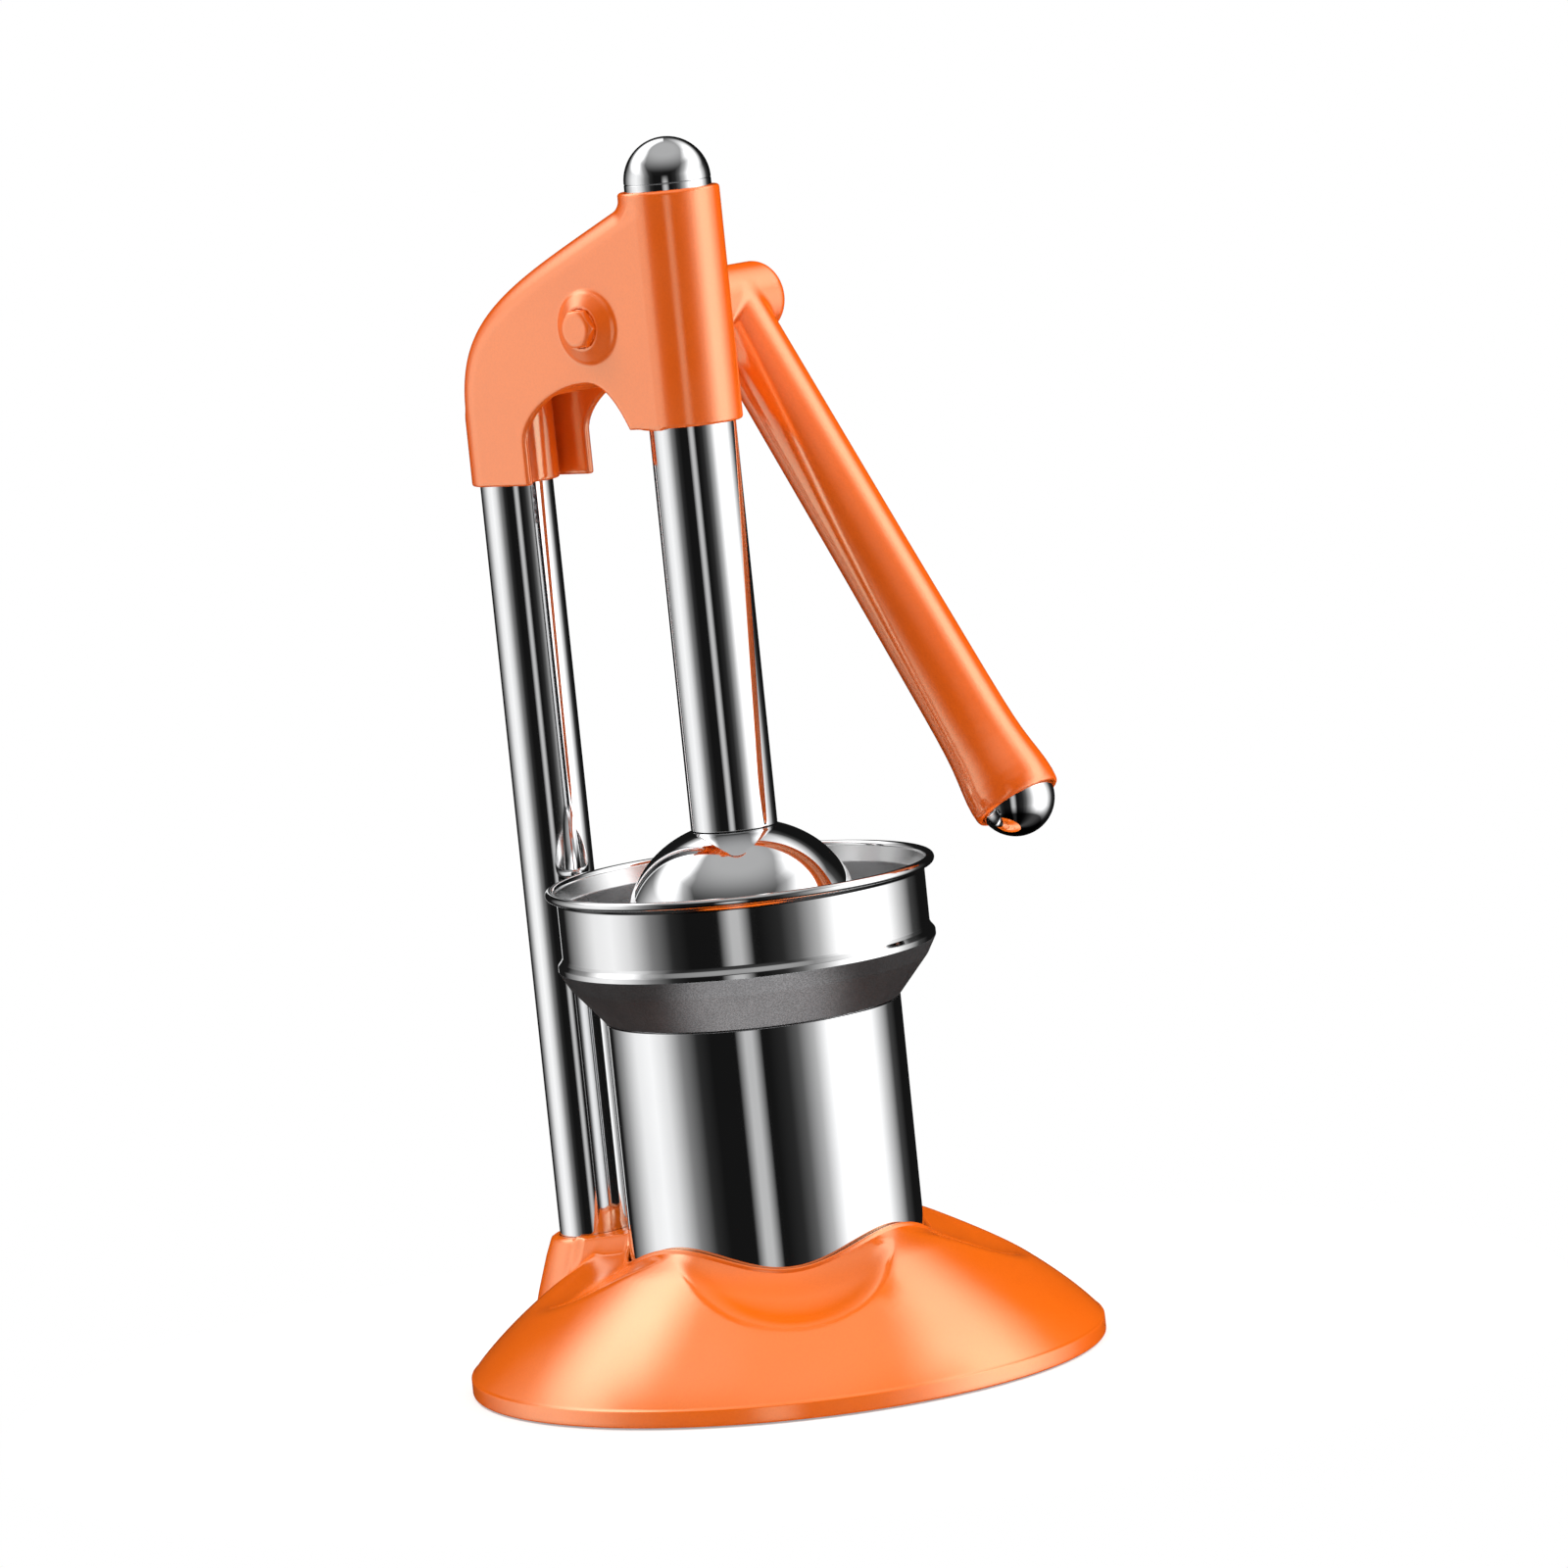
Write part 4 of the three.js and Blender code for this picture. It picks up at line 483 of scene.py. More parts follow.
def bumped(tree, shader, heights):
    """Chains bumps; each is (pattern, distance in metres, strength)."""
    last = None
    for height, distance, strength in heights:
        b = node(tree, "ShaderNodeBump", Distance=distance, Strength=strength)
        tree.links.new(height, b.inputs["Height"])
        if last is not None:
            tree.links.new(last, b.inputs["Normal"])
        last = b.outputs["Normal"]
    tree.links.new(last, shader.inputs["Normal"])


def paint(name, base, light, dark):
    """Satin powder coat: orange peel, faint mottling and fine specks."""
    m, tree, s = new_material(name)
    wide = spread(tree, noise(tree, 22, 4), 0.0, 1.0)
    fine = spread(tree, noise(tree, 1500, 2), 0.0, 1.0, 0.35, 0.65)
    colour = mixed(tree, wide, base, light)
    colour = mixed(tree, spread(tree, fine, 0.0, 0.32, 0.2, 1.0), colour, dark)
    tree.links.new(colour, s.inputs["Base Color"])
    tree.links.new(spread(tree, noise(tree, 55, 5), 0.13, 0.19), s.inputs["Roughness"])
    s.inputs["IOR"].default_value = 2.4
    s.inputs["Specular IOR Level"].default_value = 0.8
    s.inputs["Specular Tint"].default_value = (1.0, 0.88, 0.61, 1.0)
    bumped(tree, s, [(noise(tree, 620, 2), 0.00006, 0.3), (noise(tree, 2400, 2), 0.00002, 0.3)])
    return m


def metal(name, base, tint, rough, smear, stretch, scale, depth):
    """Metal with a polishing or brushing pattern and faint smears."""
    m, tree, s = new_material(name)
    cloud = spread(tree, noise(tree, 30, 5), 0.0, 1.0)
    lines = noise(tree, scale, 3, 0.6, stretch)
    colour = mixed(tree, cloud, base, tint)
    tree.links.new(colour, s.inputs["Base Color"])
    s.inputs["Metallic"].default_value = 1.0
    both = math_node(tree, "ADD", spread(tree, noise(tree, 48, 6, 0.6), rough, rough + smear),
                     spread(tree, lines, 0.0, smear))
    tree.links.new(both, s.inputs["Roughness"])
    bumped(tree, s, [(lines, depth, 0.3)])
    return m


def plain(name, base, other, rough, grain, depth, scale=900, shine=0.5, specks=0.0):
    m, tree, s = new_material(name)
    colour = mixed(tree, spread(tree, noise(tree, 60, 5), 0.0, 1.0), base, other)
    if specks:
        dots = spread(tree, noise(tree, scale, 2), 0.0, specks, 0.4, 0.6)
        colour = mixed(tree, dots, colour, tuple(0.25 * value for value in base))
    tree.links.new(colour, s.inputs["Base Color"])
    tree.links.new(spread(tree, noise(tree, 120, 4), rough, rough + grain), s.inputs["Roughness"])
    s.inputs["Specular IOR Level"].default_value = shine
    bumped(tree, s, [(noise(tree, scale, 3), depth, 0.4)])
    return m


ORANGE = paint("orange_coat", (0.84, 0.114, 0.003), (0.89, 0.128, 0.004), (0.74, 0.094, 0.002))
# The base's coat is a lighter copy of the same orange: painted light, standing in for the stronger
# light that falls on the base.
ORANGE_BASE_LIT_COPY = paint("orange_coat_base_lit_copy", (0.96, 0.150, 0.004), (0.99, 0.165, 0.005),
                    (0.88, 0.125, 0.003))
DRAWN = (60.0, 60.0, 1.0)
CHROME = metal("chrome_polish", (0.90, 0.905, 0.91), (0.86, 0.865, 0.875), 0.03, 0.015,
               DRAWN, 40, 0.0000002)
CHROME_POST = metal("chrome_column", (0.90, 0.905, 0.91), (0.86, 0.865, 0.875), 0.045, 0.015,
                    DRAWN, 8, 0.0000001)
STEEL_BAND = metal("steel_polish", (0.88, 0.882, 0.885), (0.83, 0.832, 0.838), 0.05, 0.02,
                   DRAWN, 40, 0.0000004)
STEEL_SATIN = metal("steel_satin", (0.80, 0.802, 0.805), (0.74, 0.742, 0.748), 0.22, 0.03,
                    (1.0, 1.0, 30.0), 60, 0.0000008)
# The cone under the bowl: its matte finish is real, but its near-black colour is painted shade,
# not the steel's own colour.
STEEL_CONE_SHADED = plain("steel_cone_painted_shade", (0.044, 0.044, 0.045), (0.034, 0.034, 0.035), 0.5, 0.12,
                   0.00012, 2200, 0.15, 0.45)
STEEL_PART = metal("steel_machined", (0.62, 0.63, 0.65), (0.52, 0.53, 0.55), 0.22, 0.10,
                   (1.0, 1.0, 1.0), 800, 0.00001)
NYLON = plain("nylon", (0.78, 0.755, 0.68), (0.72, 0.70, 0.62), 0.42, 0.10, 0.00003)
RUBBER = plain("rubber", (0.022, 0.022, 0.024), (0.035, 0.035, 0.037), 0.72, 0.15, 0.00008, 1400)
DARK = plain("dark_plate", (0.028, 0.029, 0.032), (0.045, 0.046, 0.050), 0.45, 0.15, 0.00005, 700)

# ---------------- base shell
WELL_R = CUP[1][0] + 0.6
LIP = 1.5
BASE_R = SHELL[1][0]
BAND_Z = 5.0
CROWN_Z = SHELL[1][2]
WELL_FLOOR = 14.0
WALL, WELL_WALL = 3.0, 2.5
BEND = (BASE_R - 12.6, BAND_Z + 15.8)
WAVE_DROP = 7.2
SCOOP_START = WELL_R + LIP + 1.5
SCOOP_REACH = BASE_R - 22.0 - SCOOP_START
COLLAR, COLLAR_FADE = 1.1, 12.0
# distance from the column's axis, and height, of the block that the column stands in
BLOCK_RINGS = [(0, 37.5), (12.6, 37.5), (13.9, 36.7), (16.0, 31.3), (19.5, 20.4), (22.7, 8.5),
               (27, -8)]
# ridge from the well's rim to that block: where it starts and ends, its half width and top there
RIDGE_START, RIDGE_END = 42.0, COLUMN_Y - 6.6
RIDGE_HALF, RIDGE_NARROWS = 20.0, 7.0
RIDGE_TOP, RIDGE_DROPS = 41.5, 4.0
RIDGE_FLANK, RIDGE_REAR = 2.2, 2.5  # slopes of its sides and of its rear end


def skirt_height(r):
    """Height of the plain skirt at a radius: a quadratic curve from the band to the crown."""
    (x0, y0), (x1, y1), (x2, y2) = (BASE_R, BAND_Z), BEND, (WELL_R + LIP, CROWN_Z)
    a, b, c = x0 - 2 * x1 + x2, 2 * (x1 - x0), x0 - r
    t = (-b - np.sqrt(np.maximum(0, b * b - 4 * a * c))) / (2 * a)
    t = np.clip(t, 0, 1.0)
    return (1 - t) ** 2 * y0 + 2 * t * (1 - t) * y1 + t * t * y2


def wave(phi):
    return WAVE_DROP * (1 - np.cos(4 * phi)) / 2


def soft_max(a, b, k):
    h = np.maximum(k - np.abs(a - b), 0) / k
    return np.maximum(a, b) + h * h * k / 4


def scoop_edge(phi):
    """Radius at which the hollows end."""
    return SCOOP_START + SCOOP_REACH * np.abs(np.sin(2 * phi)) ** 1.5


def top_height(x, y):
    """Upper surface: the skirt, its four hollows, the column's block and the ridge to the rim."""
    r, phi = np.hypot(x, y), np.arctan2(y, x)
    edge = scoop_edge(phi)
    u = np.clip((edge - r) / (edge - WELL_R - LIP), -1, 1)
    # crisp in the middle of each hollow, soft towards the crests
    soft = 0.12 + 0.55 * (1 - np.abs(np.sin(2 * phi)))
    u = np.where(u > soft, u, np.where(u < -soft, 0, (u + soft) ** 2 / (4 * soft)))
    hollow = wave(phi) * (1 - (1 - np.clip(u, 0, 1)) ** 3)
    z = skirt_height(np.maximum(r, WELL_R + LIP)) - hollow
    # the lip stands proud of the skirt as a low collar
    beside = np.clip((r - WELL_R - LIP) / COLLAR_FADE, 0, 1)
    z = z - COLLAR * np.where(r > WELL_R + LIP, (1 - beside) ** 2 * (1 + 2 * beside), 0)
    # block round the column
    away = np.hypot(x, y - COLUMN_Y)
    blocky = np.interp(away, *zip(*BLOCK_RINGS))
    t = np.clip((y - RIDGE_START) / (RIDGE_END - RIDGE_START), 0, 1)
    half = RIDGE_HALF - RIDGE_NARROWS * t
    ridge = RIDGE_TOP - RIDGE_DROPS * t - np.maximum(np.abs(x) - half, 0) * RIDGE_FLANK
    behind = y - (COLUMN_Y - 3)
    ridge = np.where(y > 30, ridge - np.maximum(behind, 0) * RIDGE_REAR, -50)
    return soft_max(soft_max(z, ridge, 3.0), blocky, 2.5)


def shell_mesh():
    # finer steps round the block
    sector = np.arange(60, 120, 0.3)
    rest = np.arange(120, 420, 0.75)
    phi = np.radians(np.concatenate([sector, rest]))
    cols = len(phi)
    cx, cy = np.cos(phi), np.sin(phi)
    rows = []

    def ring(r, z):
        r = np.broadcast_to(r, phi.shape)
        z = np.broadcast_to(z, phi.shape)
        rows.append(np.stack([r * cx, r * cy, z], 1))

    def surface(r):
        return top_height(r * cx, r * cy)

    inner = BASE_R - WALL
    # upper surface, outwards from the well's rim
    lip_z = surface(WELL_R + LIP * 0.5)
    fillet = 0.7
    ring(WELL_R, WELL_FLOOR + 1)
    ring(WELL_R, WELL_FLOOR + 1.5)
    ring(WELL_R, (lip_z + WELL_FLOOR) / 2)
    ring(WELL_R, lip_z - fillet - 0.3)
    for a in (0, 22.5, 45, 67.5, 90):
        ring(WELL_R + fillet * (1 - math.cos(math.radians(a))),
             lip_z - fillet * (1 - math.sin(math.radians(a))))
    # equal steps along each ray's own profile, so that steep flanks get as many rows
    ring(WELL_R + LIP - 0.35, surface(WELL_R + LIP - 0.35))
    collar_top, collar_foot = surface(WELL_R + LIP - 0.35), surface(WELL_R + LIP + 0.15)
    ring(WELL_R + LIP - 0.05, collar_top - 0.25 * (collar_top - collar_foot))
    ring(WELL_R + LIP, (collar_top + collar_foot) / 2)
    start, stop = WELL_R + LIP + 0.15, BASE_R - 0.5
    fine = start + (stop - start) * np.linspace(0, 1, 500)[:, None] * np.ones(cols)
    heights = top_height(fine * cx, fine * cy)
    run = np.hypot(np.diff(fine, axis=0), 0.75 * np.diff(heights, axis=0))
    length = np.vstack([np.zeros(cols), np.cumsum(run, 0)])
    count = 84
    for k in range(count):
        target = length[-1] * k / (count - 1)
        r = np.array([np.interp(target[c], length[:, c], fine[:, c]) for c in range(cols)])
        ring(r, surface(r))
    # rounded band round the foot
    shoulder = surface(BASE_R - 0.5)
    for a in (20, 45, 70, 90):
        s, c = math.sin(math.radians(a)), math.cos(math.radians(a))
        ring(BASE_R - 0.5 + 0.5 * s, shoulder - 0.75 + 0.75 * c)
    for z in (3.6, 2.2):
        ring(BASE_R, z)
    for a in (0, 30, 60, 90):
        s, c = math.sin(math.radians(a)), math.cos(math.radians(a))
        ring(BASE_R - 0.6 + 0.6 * c, SHELL[0][2] + 0.6 - 0.6 * s)
    ring(inner + 0.3, SHELL[0][2])
    ring(inner, SHELL[0][2] + 0.3)
    ring(inner, 7.9)
    # underside
    for r in np.linspace(inner - 0.3, WELL_R + WELL_WALL + 1.0, 14):
        edge = scoop_edge(phi)
        u = np.clip((edge - r) / (edge - WELL_R - LIP), 0, 1)
        ring(r, skirt_height(np.array(r)) - wave(phi) * (1 - (1 - u) ** 2) - 3.6)
    ring(WELL_R + WELL_WALL, CROWN_Z - wave(phi) - 6.5)
    ring(WELL_R + WELL_WALL, WELL_FLOOR - WELL_WALL)
    verts = np.concatenate(rows)
    faces = []
    n = len(rows)
    for k in range(n - 1):
        for i in range(cols):
            j = (i + 1) % cols
            faces.append((k * cols + i, (k + 1) * cols + i, (k + 1) * cols + j, k * cols + j))
    # floor of the well, below and above, each a fan round the axis
    low, high = len(verts), len(verts) + 1
    under = (n - 1) * cols
    floor_rows = []
    extra = []
    base = len(verts) + 2
    for r, z in ((WELL_R - 0.3, WELL_FLOOR + 0.3), (WELL_R - 1, WELL_FLOOR)):
        floor_rows.append(base + len(extra))
        extra.extend(np.stack([r * cx, r * cy, np.full(cols, z)], 1).tolist())
    verts = np.vstack([verts, [[0, 0, WELL_FLOOR - WELL_WALL], [0, 0, WELL_FLOOR]], extra])
    chain = [0] + floor_rows
    for a, b in zip(chain, chain[1:]):
        for i in range(cols):
            j = (i + 1) % cols
            faces.append((b + i, a + i, a + j, b + j))
    for i in range(cols):
        j = (i + 1) % cols
        faces.append((high, chain[-1] + i, chain[-1] + j))
        faces.append((low, under + j, under + i))
    return verts, facing_out(verts, faces)


v, f = shell_mesh()
shell = build("base_shell_moulded", v, f, "frame", ORANGE_BASE_LIT_COPY, ["base_shell"])
v, f = rod(COLUMN_R + GAP, 0, CROWN_Z + 10)
cut(shell, moved(v, 0, COLUMN_Y), f)

# ---------------- head
HALF = HEAD[1][0]
HEAD_LOW = HEAD[0][2]
HEAD_TOP = HEAD[1][2]
WEB_REAR = COLUMN_Y + 8.5
HOUSING_R = HEAD[1][1] - COLUMN_Y
HOUSING_TOP, HOUSING_ROUND = HEAD_LOW + 25.2, 5.0
GRUB_HEIGHTS = (6, 16)
SLEEVE_R = -HEAD[0][1]
SLEEVE_LOW = HEAD_LOW + 15.75
LEG_FRONT = COLUMN_Y - 18.3
ARCH = (27.0, HEAD_LOW + 30.1)
ARCH_FRONT = 11.8
SPRING = HEAD_LOW + 12.6
RECESS_TOP, RECESS_BACK, RECESS_LIP = HEAD_LOW + 27.6, COLUMN_Y - 6, 2.6
HEAD_ROUND, HEAD_EDGE = 8.5, 0.9
REAR_TOP, REAR_PULL, SLOPE_PULL = HEAD_LOW + 22.1, 33, 62
BUSH_R = 5.8
slope = math.radians(25)
top = HEAD_TOP + 1.5

curve = bezier((WEB_REAR, REAR_TOP), (WEB_REAR, REAR_TOP + REAR_PULL),
               (SLOPE_PULL * math.cos(slope), top - SLOPE_PULL * math.sin(slope)), (0, top), 40)
web_outline = [(-20, HEAD_LOW - 20), (WEB_REAR, HEAD_LOW - 20), *curve.tolist(),
               (-20, top + 20 * math.tan(slope))]
reach, rise = LEG_FRONT - ARCH[0], ARCH[1] - SPRING
drop, span = ARCH[1] - SLEEVE_LOW, ARCH[0] - ARCH_FRONT
arch_outline = [
    (-30, HEAD_LOW - 20),
    (LEG_FRONT, HEAD_LOW - 20),
    *bezier((LEG_FRONT, SPRING), (LEG_FRONT, SPRING + 0.48 * rise),
            (ARCH[0] + 0.48 * reach, ARCH[1]), ARCH, 24).tolist(),
    *bezier(ARCH, (ARCH[0] - 0.36 * span, ARCH[1]),
            (ARCH[0] - 0.69 * span, ARCH[1] - 0.33 * drop), (ARCH_FRONT, SLEEVE_LOW),
            24)[1:].tolist(),
    (-30, SLEEVE_LOW),
]
WEB = Outline(web_outline, (-25, HEAD_LOW - 25), (WEB_REAR + 13, HEAD_TOP + 12))
HOLE = Outline(arch_outline, (-25, HEAD_LOW - 25), (WEB_REAR + 13, HEAD_TOP + 12))
BOSS_FACE = HEAD[0][0]
boss_outline = [(0, -10), (11.3, -10), (11.3, -HALF), (10.3, -HALF - 1.0), (6.5, BOSS_FACE),
                (0, BOSS_FACE)]
BOSS = Outline([(-r, x) for r, x in reversed(boss_outline)] + boss_outline, (-1, -25), (30, 0))
CHAMBER = 14.55


def head_field(p):
    x, y, z = p.T
    web = box_field(np.abs(x) - HALF, WEB(y, z), np.full_like(x, -50), HEAD_ROUND)
    # the box's third side is left open; the cuts below close it
    web = meet(web, -y, 0)
    web = meet(web, z - HEAD_TOP, HEAD_EDGE)
    web = minus(web, HOLE(y, z), HEAD_EDGE)
    # hollow front of the leg with the column's round housing
    inner = HALF - RECESS_LIP
    front = SHAFT_Y + CHAMBER + 3
    hollow = box_field(np.abs(x) - inner, slab(y, front, COLUMN_Y), z - RECESS_TOP, 0.8)
    round_column = np.hypot(x, y - COLUMN_Y)
    hollow = minus(hollow, round_column - HOUSING_R, 0.8)
    hollow = minus(hollow, RECESS_BACK - y, 0.5)
    web = minus(web, hollow, 0.8)
    # the same housing stands out behind the web
    housing = rod_field(round_column - HOUSING_R, slab(z, HEAD_LOW - 20, HOUSING_TOP),
                        HOUSING_ROUND)
    web = join(web, np.maximum(housing, COLUMN_Y - 2 - y), 2.0)
    web = meet(web, HEAD_LOW - z, HEAD_EDGE)
    sleeve = rod_field(np.hypot(x, y) - SLEEVE_R, slab(z, SLEEVE_LOW, HEAD_TOP), HEAD_EDGE)
    # a fillet in the corner between them, kept between the web's two sides
    body = join(web, sleeve)
    corner = np.maximum(corner_fill(web, sleeve, 2.2), np.abs(x) - HALF + 0.3)
    body = join(body, corner, 0.3)
    round_shaft = np.hypot(y - SHAFT_Y, z - SHAFT_Z)
    boss = BOSS(round_shaft, x)
    body = join(body, boss, 0.7)
    # bores
    body = minus(body, np.hypot(x, y) - (PLUNGER_R + GAP), 0.5)
    room = np.maximum(round_shaft - CHAMBER, -6.3 - x)
    body = minus(body, room, 0.4)
    near = np.maximum(round_shaft - BUSH_R, x + 5.3)
    body = minus(body, near, 0.3)
    bore = round_column - (COLUMN_R + GAP)
    body = minus(body, np.maximum(bore, z - COLUMN[1][2] - GAP), 0.4)
    for height in GRUB_HEIGHTS:
        grub = np.hypot(x, z - HEAD_LOW - height) - GRUB_R
        body = minus(body, np.maximum(grub, COLUMN_Y - y), 0.3)
    return body


v, f = contour(head_field, HEAD[0] - 1.3, HEAD[1] + 1.3, 0.55)
build("head_casting", v, f, "frame", ORANGE, ["head"], sharp=SHARP_CAST)

# ---------------- lever
LEAN = math.radians(31.6)
HUB_LENGTH, HUB_R = 45.6, 11.2
HUB_X0, HUB_X1 = THRUST[1][0] + GAP, THRUST[1][0] + GAP + HUB_LENGTH
ARM_X = HUB_X1 - 17
ARM_LENGTH = 180.0
POCKET_R, POCKET_DEPTH = 12.0, 7.0
STUD_HOLE_R, STUD_HOLE_DEPTH = 3.3, 21.3
SHAFT_BORE_R = 7.3
# the arm's own frame: X stays, "across" and "along" lie in the lever's plane
ALONG = np.array([0, -math.sin(LEAN), -math.cos(LEAN)])
ACROSS = np.array([0, math.cos(LEAN), -math.sin(LEAN)])
ARM_AT = np.array([ARM_X, SHAFT_Y, SHAFT_Z])


def arm_to_world(v):
    return ARM_AT + np.outer(v[:, 0], (1, 0, 0)) + np.outer(v[:, 1], ACROSS) + np.outer(
        v[:, 2], ALONG)


arm_radii = [(-0.5, 10.75), (40, 10.9), (90, 11.1), (140, 11.5), (150, 11.66), (156, 11.86),
             (161, 12.2), (165, 12.66), (169, 13.2), (172.5, 13.6), (176, 13.75), (180.5, 13.45)]
arm_outline = [(r, s) for s, r in arm_radii]
ARM = Outline([(-r, s) for r, s in reversed(arm_outline)] + arm_outline, (-1, -20), (30, 200))


def lever_field(p):
    x, a, s = p.T
    round_arm = np.hypot(x, a)
    arm = ARM(round_arm, s)
    arm = meet(arm, s - (ARM_LENGTH + 0.5), 2.2)
    hub_radial = np.hypot(a, s) - HUB_R
    ahead = x + ARM_X
    hub = rod_field(hub_radial, slab(ahead, HUB_X0, HUB_X1), 0.8)
    # the hub's far end is rounded more
    hub = np.maximum(hub, rod_field(hub_radial, slab(ahead, HUB_X0 - 20, HUB_X1), 4.0))
    body = join(arm, hub, 1.0)
    pocket = slab(s, ARM_LENGTH - POCKET_DEPTH, ARM_LENGTH + 20)
    pocket = rod_field(round_arm - POCKET_R, pocket, 0.4)
    stud = slab(s, ARM_LENGTH - STUD_HOLE_DEPTH, ARM_LENGTH)
    stud = np.maximum(round_arm - STUD_HOLE_R, stud)
    body = minus(minus(body, pocket, 0.8), stud, 0.3)
    bore = np.maximum(np.hypot(a, s) - SHAFT_BORE_R, ahead - SHAFT[1][0] - GAP)
    body = minus(body, bore, 0.3)
    # grub screw's hole, towards +Y
    y = a * ACROSS[1] + s * ALONG[1]
    z = a * ACROSS[2] + s * ALONG[2]
    hole = np.maximum(np.hypot(ahead - HUB_X0 - 10, z) - GRUB_R, -y)
    return minus(body, hole, 0.3)


v, f = contour(lever_field, (HUB_X0 - ARM_X - 1.2, -14.6, -12.6),
               (HUB_X1 - ARM_X + 1.2, 14.6, ARM_LENGTH + 2), 0.7)
v = arm_to_world(v)
build("lever_casting", v, facing_out(v, f), "lever", ORANGE, ["lever"],
      sharp=SHARP_CAST)

SPIGOT_R = 4.0
CAP_SEAT_R = 5.72
CAP_SEAM = BOSS_FACE - 0.08


def shaft_cap_field(p):
    """A six-sided cap with soft edges, on the round spigot that the CAD gives it."""
    x, y, z = p.T
    y, z = y - SHAFT_Y, z - SHAFT_Z
    wide, tall = (SHAFT_CAP[1] - SHAFT_CAP[0])[1:] / 2
    flat = min(wide, tall)
    first = 0 if wide > tall else 30
    sides = np.stack([y * math.sin(math.radians(a)) + z * math.cos(math.radians(a))
                      for a in range(first, 360 + first, 60)]).max(0) - flat
    face = SHAFT_CAP[0][0]
    head = rod_field(sides, slab(x, face, CAP_SEAM), 0.25)
    bevel = (np.hypot(y, z) + 1.1 * (face - x) - (flat - 0.5)) / 1.49
    head = meet(head, bevel, 0.8)
    spigot = np.maximum(np.hypot(y, z) - SPIGOT_R, slab(x, BOSS_FACE - 1, SHAFT_CAP[1][0]))
    seat = np.maximum(np.hypot(y, z) - CAP_SEAT_R, slab(x, CAP_SEAM, BOSS_FACE + 1.2))
    return join(join(head, spigot), seat)


v, f = contour(shaft_cap_field, SHAFT_CAP[0] - 0.5, SHAFT_CAP[1] + 0.5, 0.22)
build("shaft_cap_moulded", v, facing_out(v, f), "lever", ORANGE, ["shaft_cap"],
      sharp=SHARP_CAST)


def chrome_ball():
    seat = ARM_LENGTH - POCKET_DEPTH + GAP
    crown = ARM_LENGTH + 9.7
    r = POCKET_R - GAP
    centre = crown - r
    path = [(0, seat - 14), (2.6, seat - 14), (3, seat - 13.6), (3, seat - 0.2), (3.2, seat),
            (r - 0.3, seat), (r, seat + 0.3)]
    for a in np.linspace(0, 90, 26)[:-1]:
        path.append((r * math.cos(math.radians(a)), centre + r * math.sin(math.radians(a))))
    path.append((0, crown))
    return path


v, f = revolve(chrome_ball(), 128)
v = arm_to_world(v)
build("lever_ball", v, facing_out(v, f), "lever", CHROME, ["lever_cap"])

# ---------------- plunger
PRESS_R = DOME[1][0]
PRESS_TOP = DOME[1][2]
PRESS_LOW = DOME[0][2]
PRESS_MID = PRESS_TOP - math.sqrt(PRESS_R**2 - PLUNGER_R**2)
DOME_WALL = 1.5
DOME_SHOULDER = 0.8  # how much fuller than a sphere the dome stands between foot and top
DOME_HOLE_R = 4.2
TUBE_WALL = 3.0
SLOT_HALF = 5.8
RACK_END, RACK_SCREW = 10.0, 5.0  # from the rack's ends to the slot's ends and to the screws
TUBE_LOW, TUBE_TOP = PLUNGER[0][2], PLUNGER[1][2]

v, f = revolve(rounded([
    (PLUNGER_R - TUBE_WALL, TUBE_LOW, 0.3), (PLUNGER_R, TUBE_LOW, 0.3),
    (PLUNGER_R, TUBE_TOP, 0.25), (PLUNGER_R - TUBE_WALL, TUBE_TOP, 0.25)]), 192)
tube = build("plunger_polished", v, f, "plunger", CHROME, ["plunger_tube"])
v, f = block(-SLOT_HALF, SLOT_HALF, 0, PLUNGER_R + 2,
             RACK[0][2] + RACK_END - GAP, RACK[1][2] - RACK_END + GAP)
cut(tube, v, f)
for z in (RACK[0][2] + RACK_SCREW, RACK[1][2] - RACK_SCREW):
    v, f = revolve([(0, 4.7), (1.7, 4.7), (1.7, 11.4), (3.0, 12.7), (3.0, 15), (0, 15)], 48)
    cut(tube, along_y(v, 0, z), f)


def crown_path():
    z = TUBE_TOP + GAP
    r = PLUNGER_R
    seam = TUBE_TOP + 0.06
    path = [(0, z - 8), (r - 3.6, z - 8), (r - 3.3, z - 7.7), (r - 3.3, seam), (r - 0.2, seam),
            (r, seam + 0.2), (r, z)]
    for a in np.linspace(2, 90, 30)[:-1]:
        path.append((r * math.cos(math.radians(a)), z + r * math.sin(math.radians(a))))
    path.append((0, z + r))
    return path


v, f = revolve(crown_path(), 160)
build("plunger_crown", v, f, "plunger", CHROME, ["plunger_cap"])


def dome_path():
    outer, inner = PRESS_R, PRESS_R - DOME_WALL
    path = []
    seat = math.asin((PRESS_TOP - PRESS_MID) / outer)
    for a in np.linspace(0, seat, 34)[:-1]:
        fuller = outer + DOME_SHOULDER * math.sin(math.pi * a / seat)
        path.append((min(outer, fuller * math.cos(a)), PRESS_MID + fuller * math.sin(a)))
    # small flare that meets the tube
    path += [(13.9, PRESS_TOP - 0.35), (13.5, PRESS_TOP - 0.12), (13.2, PRESS_TOP)]
    path += [(DOME_HOLE_R, PRESS_TOP), (DOME_HOLE_R, PRESS_TOP - DOME_WALL)]
    under = math.asin((PRESS_TOP - DOME_WALL - PRESS_MID) / inner)
    for a in np.linspace(under, 0, 30):
        path.append((inner * math.cos(a), PRESS_MID + inner * math.sin(a)))
    path += [(inner, PRESS_LOW + 0.6), (inner + 0.25, PRESS_LOW + 0.15), (inner + 0.75, PRESS_LOW),
             (outer - 0.25, PRESS_LOW + 0.15), (outer, PRESS_LOW + 0.6), (outer, PRESS_MID - 1)]
    return path


v, f = revolve(dome_path(), 192)
build("pressing_dome", v, f, "plunger", CHROME, ["press_dome"])

